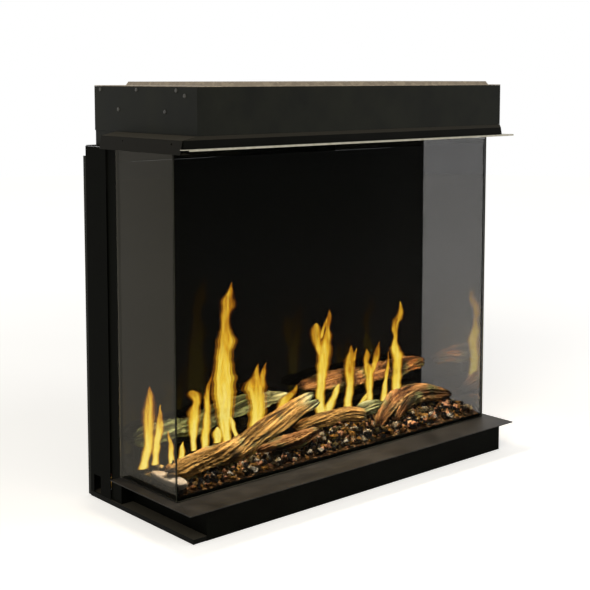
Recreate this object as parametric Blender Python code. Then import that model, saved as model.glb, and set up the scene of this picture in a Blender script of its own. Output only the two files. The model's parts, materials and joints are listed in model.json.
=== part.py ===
# Three-sided gas fireplace: steel case, three glass panes, driftwood log set over a pan burner,
# gas controls in the base, rear flue collars and a vented header.
# Metres, +Z up, +X to the right, +Y to the back. The origin is the middle of the base's underside.

import math

import bmesh
import bpy
from mathutils import Matrix, Vector
from mathutils.noise import noise

# Driving dimensions
BASE_W = 0.960          # base, and the outer faces of the side panes
BASE_D = 0.3984         # base front face to the back of the rear cover
HALF_W = BASE_W / 2
SHEET = 0.0016          # steel sheet
GAP = 0.0003            # clearance left between touching pieces
PANE = 0.005            # ceramic glass
SEAM = 0.0019           # one sheet and its clearance

RAIL_W = 0.0335         # foot rail along the left side
RAIL_H = 0.0105
FLOOR_Z = 0.0675        # underside of the firebox floor
TRIM_Z = 0.0695         # underside of the lower trim
TRIM_TOP = 0.0715
TRIM_OUT = 0.025        # how far the trims stand out at the sides
TRIM_FRONT = -0.023     # front edge of the lower trim, behind the base's front face
LIP_FRONT = -0.010      # front edge of the lip above the front pane
GLASS_FRONT = 0.0557    # front face of the front pane, behind the base's front face
GLASS_Z = 0.0731        # bottom edge of the panes
FRONT_GLASS_TOP = 0.7945
SIDE_GLASS_TOP = 0.7870
LINER_FRONT = 0.2632    # front face of the black glass liner
POST_FRONT = 0.2685
COLUMN_FRONT = 0.3075
COVER_FRONT = 0.3888
CEILING_Z = 0.7905
RAILS_Z = 0.7924
RAILS_TOP = 0.8244
HEADER_HALF = 0.4627
HEADER_D = 0.3754
HEADER_Z = 0.8247
HEADER_TOP = 0.9208
TOP_Z = 0.9305          # top of the raised vent plate
COVER_TOP = 0.7680

COLLAR_Z = 0.660        # height of the flue's axis
EXHAUST_R = 0.0508
INTAKE_R = 0.0840
COLLAR_END = 0.4284

VALVE_X = (-0.385, -0.310)
VALVE_D = (0.048, 0.1002)
VALVE_Z = (0.0040, 0.0540)
KNOB_Z = 0.030
INLET_D = 0.361
INLET_Z = 0.027
BURNER_D = 0.2126       # middle of the burner tray
FEED_X = -0.055         # where the feed tube rises into the burner
FEED_Z = 0.040
FEED_R = 0.011
MOUTH_X = -0.205        # open end of the feed tube
PILOT_X = 0.060
PILOT_D = 0.242
IGNITER_X = -0.290
RELIEF_X = 0.250        # middle of each relief port
LATCH_X = 0.300

LIP_TOP = 0.0795        # lip that holds the embers back
BED_Z = 0.0693          # underside of the ember bed and the burner tray
BED_TOP = 0.088
SHELF_Z = 0.1320        # shelf under the rear logs

SIDES = (("left", -1), ("right", 1))
# Name, place along X and radius of the two gas knobs
KNOBS = (("gas_control_knob", -0.365, 0.0155), ("flame_height_knob", -0.330, 0.0115))


def back(depth):
    """Y of a point that lies this far behind the base's front face."""
    return depth - BASE_D / 2


# Building blocks

def clear_scene():
    for obj in list(bpy.data.objects):
        bpy.data.objects.remove(obj, do_unlink=True)


def linear(hex_colour):
    """Turns an sRGB hex colour into linear light."""
    values = [int(hex_colour[i:i + 2], 16) / 255 for i in (1, 3, 5)]
    return [v / 12.92 if v <= 0.04045 else ((v + 0.055) / 1.055) ** 2.4 for v in values]


def material(name, hex_colour, roughness, metallic=0.0, alpha=1.0):
    made = bpy.data.materials.new(name)
    made.use_nodes = True
    shader = made.node_tree.nodes["Principled BSDF"]
    shader.inputs["Base Color"].default_value = (*linear(hex_colour), 1)
    shader.inputs["Roughness"].default_value = roughness
    shader.inputs["Metallic"].default_value = metallic
    shader.inputs["Alpha"].default_value = alpha
    made.diffuse_color = (*linear(hex_colour), alpha)
    return made


def add_object(name, bm, finish, origin=(0, 0, 0), smooth=None):
    """Makes an object of a bmesh that is drawn in world coordinates, with its origin at this point."""
    bmesh.ops.recalc_face_normals(bm, faces=bm.faces)
    if bm.calc_volume(signed=True) < 0:
        bmesh.ops.reverse_faces(bm, faces=bm.faces)
    bmesh.ops.translate(bm, verts=bm.verts, vec=-Vector(origin))
    mesh = bpy.data.meshes.new(name)
    bm.to_mesh(mesh)
    bm.free()
    if smooth is not None:
        mesh.shade_smooth()
        mesh.set_sharp_from_angle(angle=math.radians(smooth))
    mesh.materials.append(finish)
    obj = bpy.data.objects.new(name, mesh)
    obj.location = origin
    bpy.context.collection.objects.link(obj)
    return obj


def loft(bm, rings, closed_path=False):
    """Skins rings of the same number of points, and caps both ends unless the rings run in a loop."""
    rows = [[bm.verts.new(point) for point in ring] for ring in rings]
    pairs = list(zip(rows, rows[1:]))
    if closed_path:
        pairs.append((rows[-1], rows[0]))
    for low, high in pairs:
        for i in range(len(low)):
            j = (i + 1) % len(low)
            bm.faces.new((low[i], low[j], high[j], high[i]))
    if not closed_path:
        bm.faces.new(list(reversed(rows[0])))
        bm.faces.new(rows[-1])


def box(bm, xs, depths, zs):
    """A block between two X values, two depths behind the base's front face and two heights."""
    ends = [[(x, back(depths[0]), zs[0]), (x, back(depths[1]), zs[0]),
             (x, back(depths[1]), zs[1]), (x, back(depths[0]), zs[1])] for x in xs]
    loft(bm, ends)


def prism(bm, outline, zs):
    """A plan outline of (x, depth) points, between two heights."""
    loft(bm, [[(x, back(d), z) for x, d in outline] for z in zs])


def three_sides(outer, inner, depths, end):
    """Plan outline of a strip that runs along the left side, the front and the right side."""
    return [(-outer, end), (-outer, depths[0]), (outer, depths[0]), (outer, end),
            (inner, end), (inner, depths[1]), (-inner, depths[1]), (-inner, end)]


def run_along_x(bm, profile, x0, x1):
    """A section of (depth, z) points, drawn out along X."""
    loft(bm, [[(x, back(d), z) for d, z in profile] for x in (x0, x1)])


def run_along_y(bm, profile, d0, d1):
    """A section of (x, z) points, drawn out along Y."""
    loft(bm, [[(x, back(d), z) for x, z in profile] for d in (d0, d1)])


def lathe(bm, profile, centre, axis, steps=16, hollow=False):
    """Turns (radius, distance along the axis) points about an axis. A hollow profile is a closed loop."""
    turn = Vector((0, 0, 1)).rotation_difference(Vector(axis)).to_matrix()
    centre = Vector(centre)
    rings = []
    for radius, along in profile:
        ring = []
        for i in range(steps):
            angle = math.tau * (i + 0.5) / steps
            point = Vector((radius * math.cos(angle), radius * math.sin(angle), along))
            ring.append(centre + turn @ point)
        rings.append(ring)
    loft(bm, rings, closed_path=hollow)


def disc(bm, radius, centre, axis, length, steps=16):
    lathe(bm, [(radius, 0), (radius, length)], centre, axis, steps)


def bent_path(corners, bend, steps=5):
    """Points along straight runs joined by bends of this radius."""
    corners = [Vector(corner) for corner in corners]
    points = [corners[0]]
    for before, corner, after in zip(corners, corners[1:], corners[2:]):
        into = (corner - before).normalized()
        out = (after - corner).normalized()
        half = into.angle(out) / 2
        reach = bend * math.tan(half)
        centre = corner + (out - into).normalized() * bend / math.cos(half)
        start = corner - into * reach - centre
        swing = start.rotation_difference(corner + out * reach - centre)
        for i in range(steps + 1):
            share = i / steps
            points.append(centre + Matrix.Rotation(swing.angle * share, 3, swing.axis) @ start)
    points.append(corners[-1])
    return points


def frame_rings(points, radii, steps, shape=None):
    """Rings square to a path, kept from twisting. shape(angle, share) scales the radius."""
    rings = []
    side = None
    for i, point in enumerate(points):
        ahead = (points[min(i + 1, len(points) - 1)] - points[max(i - 1, 0)]).normalized()
        if side is None:
            side = ahead.orthogonal().normalized()
        side = (side - ahead * side.dot(ahead)).normalized()
        up = ahead.cross(side)
        ring = []
        for k in range(steps):
            angle = math.tau * k / steps
            radius = radii[i] * (shape(angle, i / (len(points) - 1)) if shape else 1)
            ring.append(point + (side * math.cos(angle) + up * math.sin(angle)) * radius)
        rings.append(ring)
    return rings


def tube(corners, radius, bend, steps=8):
    """A bent rod."""
    points = bent_path([(x, back(d), z) for x, d, z in corners], bend)
    bm = bmesh.new()
    loft(bm, frame_rings(points, [radius] * len(points), steps))
    return bm


def pipe(corners, radius, wall, bend, steps=16):
    """A bent tube with an open bore."""
    points = bent_path([(x, back(d), z) for x, d, z in corners], bend)
    outer = frame_rings(points, [radius] * len(points), steps)
    inner = frame_rings(points, [radius - wall] * len(points), steps)
    bm = bmesh.new()
    loft(bm, outer + inner[::-1], closed_path=True)
    return bm


def cut(obj, cutter_bm):
    """Takes a hidden cutter's shape out of an object."""
    cutter = add_object(obj.name + "_cutter", cutter_bm, obj.data.materials[0])
    cutter.hide_render = True
    cutter.display_type = "WIRE"
    modifier = obj.modifiers.new("Cut", "BOOLEAN")
    modifier.operation = "DIFFERENCE"
    modifier.object = cutter


def join_limb(obj, limb_bm):
    """Unites a hidden limb with an object."""
    limb = add_object(obj.name + "_limb", limb_bm, obj.data.materials[0])
    limb.hide_render = True
    limb.display_type = "WIRE"
    modifier = obj.modifiers.new("Join", "BOOLEAN")
    modifier.operation = "UNION"
    modifier.object = limb


clear_scene()

# Finishes
BLACK_STEEL = material("black_powder_coat", "#24231e", 0.55, 0.0)
TRIM_STEEL = material("charcoal_powder_coat", "#3a372f", 0.5, 0.0)
BARE_STEEL = material("galvanised_sheet", "#8f826f", 0.45, 0.9)
FIREBOX_STEEL = material("heat_resistant_black", "#121210", 0.7, 0.0)
CLEAR_GLASS = material("ceramic_glass", "#b9bdb8", 0.04, 0.0, 0.25)
BLACK_GLASS = material("black_glass", "#060606", 0.05)
BRASS = material("gas_brass", "#b08a48", 0.35, 1.0)
ALLOY = material("die_cast_alloy", "#9a9a96", 0.45, 0.9)
TUBE_ALLOY = material("soft_aluminium_tube", "#b4b4b0", 0.4, 1.0)
KNOB_PLASTIC = material("black_phenolic", "#171717", 0.45)
RED_PLASTIC = material("red_phenolic", "#8e1d18", 0.4)
ROPE_SEAL = material("braided_seal", "#1c1b19", 0.9)
CERAMIC = material("white_ceramic", "#e4e0d6", 0.35)
ZINC = material("zinc_screw", "#8d8a80", 0.35, 0.9)
WOOD_TAN = material("log_tan", "#8a7048", 0.85)
WOOD_GREY = material("log_grey_green", "#6d7154", 0.85)
WOOD_RED = material("log_red_brown", "#7a4a2e", 0.85)
EMBER = material("crushed_bronze_glass", "#4a3a28", 0.3)


# Base

def make_base():
    # The tray is one folded sheet: the bottom and the two side walls. The left wall stops at the column.
    left, right, top = -HALF_W + RAIL_W + GAP, HALF_W, FLOOR_Z - GAP
    section = [(left, 0), (right, 0), (right, top), (right - SHEET, top), (right - SHEET, SHEET),
               (left + SHEET, SHEET), (left + SHEET, top), (left, top)]
    bm = bmesh.new()
    run_along_y(bm, section, SEAM, COVER_FRONT - GAP)
    tray = add_object("base_tray", bm, BLACK_STEEL)
    bm = bmesh.new()
    box(bm, (left - 0.01, left + 0.01), (POST_FRONT - GAP, BASE_D), (SHEET + GAP, top + 0.01))
    cut(tray, bm)

    # The foot rail is a folded channel that is open below.
    left, right = -HALF_W, -HALF_W + RAIL_W
    section = [(left, 0), (left, RAIL_H), (right, RAIL_H), (right, 0), (right - SHEET, 0),
               (right - SHEET, RAIL_H - SHEET), (left + SHEET, RAIL_H - SHEET), (left + SHEET, 0)]
    bm = bmesh.new()
    run_along_y(bm, section, 0, COVER_FRONT - GAP)
    add_object("left_foot_rail", bm, TRIM_STEEL)

    # The panel in front of the controls pulls off forwards.
    bm = bmesh.new()
    box(bm, (right + GAP, HALF_W), (0, SHEET), (0, top))
    add_object("front_access_panel", bm, BLACK_STEEL, (0, back(0), top / 2))


def make_lower_trim():
    """Flat trim round the foot of the glass, mitred at the two front corners."""
    out, inner_x = HALF_W + TRIM_OUT, HALF_W - PANE - 0.0005
    inner_d, joint = GLASS_FRONT + PANE + 0.0002, 0.001
    bm = bmesh.new()
    plan = [(-out, TRIM_FRONT), (out, TRIM_FRONT), (inner_x, inner_d), (-inner_x, inner_d)]
    prism(bm, plan, (TRIM_Z, TRIM_TOP))
    front = add_object("lower_trim_front", bm, TRIM_STEEL)
    # A rebate under the front pane keeps the rest of the flange's top clear.
    bm = bmesh.new()
    box(bm, (-out, out), (GLASS_FRONT - GAP, inner_d + 0.001), (TRIM_TOP - 0.0006, TRIM_TOP + 0.001))
    cut(front, bm)
    end = POST_FRONT - GAP
    for name, side in SIDES:
        strip = [(out, TRIM_FRONT + joint), (inner_x, inner_d + joint), (inner_x, end), (out, end)]
        bm = bmesh.new()
        prism(bm, [(side * x, d) for x, d in strip], (TRIM_Z, TRIM_TOP))
        add_object("lower_trim_" + name, bm, TRIM_STEEL)


def make_firebox_floor():
    """Floor sheet with an upright lip on three sides that holds the embers back from the glass."""
    reach, thick = HALF_W - 0.0005, 0.0015
    bm = bmesh.new()
    box(bm, (-reach, reach), (0.003, POST_FRONT - GAP), (FLOOR_Z, FLOOR_Z + thick))
    floor = add_object("firebox_floor", bm, FIREBOX_STEEL)
    lip_x, lip_d = HALF_W - PANE - 0.0008, GLASS_FRONT + PANE + 0.0005
    bm = bmesh.new()
    lip = three_sides(lip_x, lip_x - thick, (lip_d, lip_d + thick), LINER_FRONT - GAP)
    prism(bm, lip, (FLOOR_Z + 0.0005, LIP_TOP))
    join_limb(floor, bm)
    # One hole lets the burner's feed through, the other the pilot's lines.
    bm = bmesh.new()
    disc(bm, FEED_R + 0.0006, (FEED_X, back(BURNER_D), FLOOR_Z - 0.005), (0, 0, 1), 0.010, 20)
    disc(bm, 0.007, (PILOT_X, back(PILOT_D), FLOOR_Z - 0.005), (0, 0, 1), 0.010, 16)
    cut(floor, bm)


# Burner and gas train

def make_burner():
    """Pan burner: a closed steel tray with two rows of ports, fed from below."""
    half, depths, zs, wall = 0.450, (BURNER_D - 0.0226, BURNER_D + 0.0226), (BED_Z, 0.0810), 0.0012
    bm = bmesh.new()
    box(bm, (-half, half), depths, zs)
    tray = add_object("burner_tray", bm, FIREBOX_STEEL)
    bm = bmesh.new()
    box(bm, (-half + wall, half - wall), (depths[0] + wall, depths[1] - wall), (zs[0] + wall, zs[1] - wall))
    cut(tray, bm)
    ports, port_l, port_w = 15, 0.022, 0.0045
    bm = bmesh.new()
    for i in range(ports):
        x = -half + (i + 0.5) * 2 * half / ports
        d = BURNER_D + (0.006 if i % 2 else -0.0105)
        box(bm, (x - port_l / 2, x + port_l / 2), (d, d + port_w), (zs[1] - 0.003, zs[1] + 0.003))
    disc(bm, FEED_R - 0.0015, (FEED_X, back(BURNER_D), zs[0] - 0.002), (0, 0, 1), 0.005, 20)
    cut(tray, bm)

    route = [(MOUTH_X, BURNER_D, FEED_Z), (FEED_X, BURNER_D, FEED_Z), (FEED_X, BURNER_D, BED_Z - GAP)]
    add_object("burner_feed_tube", pipe(route, FEED_R, 0.0012, 0.016), TUBE_ALLOY, smooth=50)

    # The air shutter is a slotted sleeve that turns on the mouth of the feed tube.
    inner, outer, length = FEED_R + 0.0004, FEED_R + 0.0020, 0.026
    bm = bmesh.new()
    ring = [(inner, 0), (outer, 0), (outer, length), (inner, length)]
    lathe(bm, ring, (MOUTH_X - 0.014, back(BURNER_D), FEED_Z), (1, 0, 0), 24, hollow=True)
    shutter = add_object("air_shutter", bm, ALLOY, (MOUTH_X, back(BURNER_D), FEED_Z), 50)
    bm = bmesh.new()
    slot_x, slot_d = (MOUTH_X - 0.0105, MOUTH_X - 0.0025), (BURNER_D - 0.005, BURNER_D + 0.005)
    box(bm, slot_x, slot_d, (FEED_Z - 0.02, FEED_Z + 0.02))
    cut(shutter, bm)


def make_gas_valve():
    x0, x1 = VALVE_X
    d0, d1 = VALVE_D
    z0, z1 = VALVE_Z
    # The bracket is an angle under and behind the valve.
    wall, foot = d1 + 0.0004, SEAM + 0.0015
    section = [(0.045, SEAM), (wall + SHEET, SEAM), (wall + SHEET, 0.058), (wall, 0.058), (wall, foot),
               (0.045, foot)]
    bm = bmesh.new()
    run_along_x(bm, section, -0.392, -0.262)
    add_object("valve_bracket", bm, BARE_STEEL)

    # The valve body has a stepped top and a round boss behind each knob.
    face, step = d0 + 0.006, 0.008
    section = [(face, z0), (d1, z0), (d1, z1), (d0 + 0.022, z1), (d0 + 0.018, z1 - step), (face, z1 - step)]
    bm = bmesh.new()
    run_along_x(bm, section, x0, x1)
    body = add_object("gas_valve_body", bm, ALLOY)
    bm = bmesh.new()
    for _, x, radius in KNOBS:
        disc(bm, radius * 0.78, (x, back(d0), KNOB_Z), (0, 1, 0), 0.010, 16)
    join_limb(body, bm)

    # Each knob is a skirted dial with a grip bar, in front of its boss.
    for name, x, radius in KNOBS:
        rear = d0 - GAP
        dial = [(radius, 0), (radius, -0.003), (radius * 0.82, -0.005), (radius * 0.76, -0.015),
                (radius * 0.68, -0.0165)]
        bm = bmesh.new()
        lathe(bm, dial, (x, back(rear), KNOB_Z), (0, 1, 0), 20)
        knob = add_object(name, bm, KNOB_PLASTIC, (x, back(rear), KNOB_Z), 40)
        bm = bmesh.new()
        for side in (-1, 1):
            across = sorted((x + side * radius * 0.22, x + side * radius))
            box(bm, across, (rear - 0.020, rear - 0.008), (KNOB_Z - 0.02, KNOB_Z + 0.02))
        cut(knob, bm)


def make_igniter():
    """Spark igniter: a barrel on the bracket, with a push button that slides in its bore."""
    bore, barrel_r, length, reach = 0.0063, 0.0090, 0.0444, 0.0120
    bm = bmesh.new()
    barrel = [(bore, 0), (barrel_r, 0), (barrel_r, length), (0.0010, length), (0.0010, reach), (bore, reach)]
    lathe(bm, barrel, (IGNITER_X, back(0.0558), KNOB_Z), (0, 1, 0), 20, hollow=True)
    add_object("igniter_body", bm, KNOB_PLASTIC, smooth=40)
    bm = bmesh.new()
    button = [(0.0075, 0), (0.0085, 0.0015), (0.0085, 0.0070), (bore - GAP, 0.0070), (bore - GAP, 0.0180)]
    lathe(bm, button, (IGNITER_X, back(0.0420), KNOB_Z), (0, 1, 0), 20)
    add_object("igniter_button", bm, RED_PLASTIC, (IGNITER_X, back(0.0420), KNOB_Z), 40)


def make_gas_line():
    """Inlet valve behind the supply knock-out, and the tubes to the control valve and the burner."""
    left, right, y = -0.462, -0.415, back(INLET_D)
    # Flare nipple, hexagon and outlet neck, from left to right.
    turned = [(0.0080, 0), (0.0095, 0.003), (0.0095, 0.012), (0.0125, 0.0132), (0.0125, 0.030),
              (0.0085, 0.034), (0.0085, right - left)]
    bm = bmesh.new()
    lathe(bm, turned, (left, y, INLET_Z), (1, 0, 0), 12)
    body = add_object("shutoff_valve_body", bm, BRASS, smooth=35)
    pivot_x, pivot_z = -0.4405, 0.0435
    bm = bmesh.new()
    disc(bm, 0.0055, (pivot_x, y, INLET_Z), (0, 0, 1), pivot_z - INLET_Z, 12)
    join_limb(body, bm)
    # The lever is a flat strip with a turned-up end. It lies along the pipe when the gas is on.
    reach, half_w, thick, low = 0.048, 0.0065, 0.002, pivot_z + GAP
    outline = [(-0.008, -half_w), (reach - half_w, -half_w), (reach, -half_w * 0.4), (reach, half_w * 0.4),
               (reach - half_w, half_w), (-0.008, half_w)]
    bm = bmesh.new()
    prism(bm, [(pivot_x + a, INLET_D + b) for a, b in outline], (low, low + thick))
    lever = add_object("shutoff_lever", bm, RED_PLASTIC, (pivot_x, y, low))
    bm = bmesh.new()
    box(bm, (pivot_x + reach - 0.008, pivot_x + reach - 0.006), (INLET_D - 0.0045, INLET_D + 0.0045),
        (low + thick / 2, low + 0.010))
    lathe(bm, [(0.0045, thick / 2), (0.0045, 0.0045)], (pivot_x, y, low), (0, 0, 1), 6)
    join_limb(lever, bm)

    valve_mid, outlet_z, supply_x, turn_x = 0.078, 0.046, -0.402, -0.252
    route = [(right + GAP, INLET_D, INLET_Z), (supply_x, INLET_D, INLET_Z), (supply_x, valve_mid, INLET_Z),
             (VALVE_X[0] - GAP, valve_mid, INLET_Z)]
    add_object("gas_supply_tube", tube(route, 0.005, 0.010, 10), TUBE_ALLOY, smooth=50)
    # The burner's tube ends in an orifice that points into the feed tube.
    nozzle_x = MOUTH_X - 0.0305
    route = [(VALVE_X[1] + GAP, valve_mid, outlet_z), (turn_x, valve_mid, outlet_z),
             (turn_x, BURNER_D, FEED_Z), (nozzle_x + 0.004, BURNER_D, FEED_Z)]
    line = add_object("burner_gas_tube", tube(route, 0.004, 0.010, 8), TUBE_ALLOY, smooth=50)
    bm = bmesh.new()
    orifice = [(0.0075, 0), (0.0075, 0.008), (0.0045, 0.009), (0.0040, 0.024), (0.0020, 0.027)]
    lathe(bm, orifice, (nozzle_x, back(BURNER_D), FEED_Z), (1, 0, 0), 12)
    join_limb(line, bm)


def make_pilot():
    """Pilot behind the burner: hood and flame sensor on one plate, spark electrode, and gas tube."""
    x, d, plate = PILOT_X, PILOT_D, (BED_Z + 0.0060, BED_Z + 0.0072)
    section = [(x - 0.016, BED_Z), (x - 0.016, plate[1]), (x + 0.016, plate[1]), (x + 0.016, BED_Z),
               (x + 0.0148, BED_Z), (x + 0.0148, plate[0]), (x - 0.0148, plate[0]), (x - 0.0148, BED_Z)]
    bm = bmesh.new()
    run_along_y(bm, section, d - 0.0055, d + 0.0055)
    pilot = add_object("pilot_burner", bm, BARE_STEEL)
    bm = bmesh.new()
    hood = [(0.0035, 0), (0.0035, 0.016), (0.0048, 0.018), (0.0048, 0.024), (0.0030, 0.027)]
    lathe(bm, hood, (x, back(d), plate[0] + 0.0005), (0, 0, 1), 12)
    sensor = [(0.0026, 0), (0.0026, 0.014), (0.0012, 0.0145), (0.0012, 0.034)]
    lathe(bm, sensor, (x + 0.0095, back(d), plate[0] + 0.0005), (0, 0, 1), 10)
    join_limb(pilot, bm)
    bm = bmesh.new()
    spark = [(0.0026, 0), (0.0026, 0.014), (0.0010, 0.0145), (0.0010, 0.027)]
    lathe(bm, spark, (x - 0.0095, back(d), plate[1] + GAP), (0, 0, 1), 10)
    add_object("spark_electrode", bm, CERAMIC, smooth=40)

    tube_x, tube_d, tube_z = x - 0.003, d - 0.0015, 0.014
    route = [(VALVE_X[1] + GAP, 0.092, tube_z), (-0.240, 0.092, tube_z), (tube_x, tube_d, tube_z),
             (tube_x, tube_d, plate[0] - GAP)]
    add_object("pilot_gas_tube", tube(route, 0.0020, 0.012), TUBE_ALLOY, smooth=50)


# Back of the case and flue

def make_columns():
    # Angle posts behind the liner's edges. Their returns stand 3 mm in from the sides.
    outer, inner, end = HALF_W - 0.003, 0.440, COLUMN_FRONT - GAP
    angle = [(outer, POST_FRONT), (inner, POST_FRONT), (inner, POST_FRONT + SHEET),
             (outer - SHEET, POST_FRONT + SHEET), (outer - SHEET, end), (outer, end)]
    for name, side in SIDES:
        low = RAIL_H + GAP if side < 0 else SEAM
        bm = bmesh.new()
        prism(bm, [(side * x, d) for x, d in angle], (low, CEILING_Z - GAP))
        add_object("glass_post_" + name, bm, BLACK_STEEL)

    # The left column side has the knock-out that the gas supply comes through.
    depths, top = (COLUMN_FRONT, COVER_FRONT - GAP), CEILING_Z - GAP
    bm = bmesh.new()
    box(bm, (-HALF_W, -HALF_W + SHEET), depths, (RAIL_H + GAP, top))
    left = add_object("left_column_side", bm, BLACK_STEEL)
    bm = bmesh.new()
    box(bm, (-HALF_W - 0.01, -HALF_W + 0.01), (0.3475, 0.3750), (0.0130, 0.0530))
    cut(left, bm)
    bm = bmesh.new()
    box(bm, (HALF_W - SHEET, HALF_W), depths, (FLOOR_Z, top))
    add_object("right_column_side", bm, BLACK_STEEL)

    bm = bmesh.new()
    box(bm, (-HALF_W + SEAM, HALF_W - SEAM), (0.2777, COVER_FRONT - GAP), (CEILING_Z, CEILING_Z + SHEET))
    add_object("column_top_plate", bm, BLACK_STEEL)

    # The rear cover is a shallow pan with a round hole for the air intake.
    bm = bmesh.new()
    box(bm, (-HALF_W, HALF_W), (COVER_FRONT, BASE_D), (SEAM, COVER_TOP))
    cover = add_object("rear_cover", bm, BLACK_STEEL)
    bm = bmesh.new()
    inside, depths = (-HALF_W + SHEET, HALF_W - SHEET), (COVER_FRONT - 0.005, BASE_D - SHEET)
    box(bm, inside, depths, (SEAM + SHEET, COVER_TOP - SHEET))
    cut(cover, bm)
    bm = bmesh.new()
    disc(bm, INTAKE_R + 0.0005, (0, back(BASE_D - 0.006), COLLAR_Z), (0, 1, 0), 0.012, 40)
    cut(cover, bm)


def make_flue():
    """Exhaust box behind the firebox, and the two round collars at the back, one inside the other."""
    half, depths, zs, wall = 0.160, (POST_FRONT + SEAM, 0.3350), (0.5600, CEILING_Z - 0.0006), 0.0012
    bm = bmesh.new()
    box(bm, (-half, half), depths, zs)
    chamber = add_object("exhaust_box", bm, BARE_STEEL)
    bm = bmesh.new()
    box(bm, (-half + wall, half - wall), (depths[0] - 0.01, depths[1] - wall), (zs[0] + wall, zs[1] - wall))
    cut(chamber, bm)
    bm = bmesh.new()
    disc(bm, EXHAUST_R + 0.0005, (0, back(depths[1] - 0.006), COLLAR_Z), (0, 1, 0), 0.012, 32)
    cut(chamber, bm)

    foot = depths[1] - wall
    reach = COLLAR_END - foot
    ring = [(EXHAUST_R - wall, 0), (EXHAUST_R, 0), (EXHAUST_R, reach), (EXHAUST_R - wall, reach)]
    bm = bmesh.new()
    lathe(bm, ring, (0, back(foot), COLLAR_Z), (0, 1, 0), 32, hollow=True)
    add_object("flue_collar_inner", bm, BARE_STEEL, smooth=40)

    # The outer collar has a flange that is fastened to the rear cover.
    foot = COVER_FRONT + 0.0005
    flange, reach, rim = BASE_D + GAP - foot, COLLAR_END - foot, INTAKE_R + 0.014
    ring = [(INTAKE_R - wall, 0), (INTAKE_R, 0), (INTAKE_R, flange), (rim, flange), (rim, flange + 0.0015),
            (INTAKE_R, flange + 0.0015), (INTAKE_R, reach), (INTAKE_R - wall, reach)]
    bm = bmesh.new()
    lathe(bm, ring, (0, back(foot), COLLAR_Z), (0, 1, 0), 40, hollow=True)
    add_object("flue_collar_outer", bm, BARE_STEEL, smooth=40)


# Firebox

def make_firebox():
    bm = bmesh.new()
    box(bm, (-0.4397, 0.4397), (POST_FRONT, POST_FRONT + SHEET), (TRIM_Z, COVER_TOP - 0.008))
    add_object("firebox_back", bm, FIREBOX_STEEL)
    liner_x = HALF_W - PANE - 0.0008
    bm = bmesh.new()
    box(bm, (-liner_x, liner_x), (LINER_FRONT, LINER_FRONT + PANE), (BED_Z, COVER_TOP - 0.008))
    add_object("rear_liner", bm, BLACK_GLASS)

    # The ceiling has two relief ports, each under a hinged flap, with an ear at both ends of each hinge.
    hinge_d, hinge_z, half_port, half_flap = 0.1970, CEILING_Z + 0.0060, 0.0475, 0.0540
    bm = bmesh.new()
    box(bm, (-0.4745, 0.4745), (GLASS_FRONT + PANE + 0.0005, 0.2774), (CEILING_Z, CEILING_Z + SHEET))
    ceiling = add_object("firebox_ceiling", bm, FIREBOX_STEEL)
    bm = bmesh.new()
    for _, port in SIDES:
        for _, side in SIDES:
            x = port * RELIEF_X + side * (half_flap + 0.0017)
            ear_zs = (CEILING_Z + 0.0005, hinge_z + 0.0035)
            box(bm, (x - 0.0013, x + 0.0013), (hinge_d - 0.004, hinge_d + 0.004), ear_zs)
    join_limb(ceiling, bm)
    bm = bmesh.new()
    for _, port in SIDES:
        x = port * RELIEF_X
        box(bm, (x - half_port, x + half_port), (0.1200, 0.1900), (CEILING_Z - 0.003, CEILING_Z + 0.003))
    cut(ceiling, bm)
    low, thick, tip, knuckle = CEILING_Z + SHEET + GAP, 0.0012, 0.1145, 0.003
    section = [(tip, low), (hinge_d + 0.0005, low), (hinge_d + knuckle, hinge_z),
               (hinge_d, hinge_z + knuckle), (hinge_d - knuckle, hinge_z), (hinge_d - 0.0045, low + thick),
               (tip, low + thick)]
    for name, port in SIDES:
        x = port * RELIEF_X
        bm = bmesh.new()
        run_along_x(bm, section, x - half_flap, x + half_flap)
        add_object("relief_flap_" + name, bm, BARE_STEEL, (x, back(hinge_d), hinge_z))

    # A frame of box-section rail carries the header, resting on the ceiling and on the column tops.
    front, rear, outer, rail = GLASS_FRONT + PANE + 0.0005, HEADER_D, HEADER_HALF - SEAM, 0.0195
    bm = bmesh.new()
    box(bm, (-outer, outer), (front, rear), (RAILS_Z, RAILS_TOP))
    frame = add_object("top_frame", bm, BLACK_STEEL)
    bm = bmesh.new()
    box(bm, (-outer + rail, outer - rail), (front + rail, rear - rail), (RAILS_Z - 0.01, RAILS_TOP + 0.01))
    cut(frame, bm)


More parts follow.
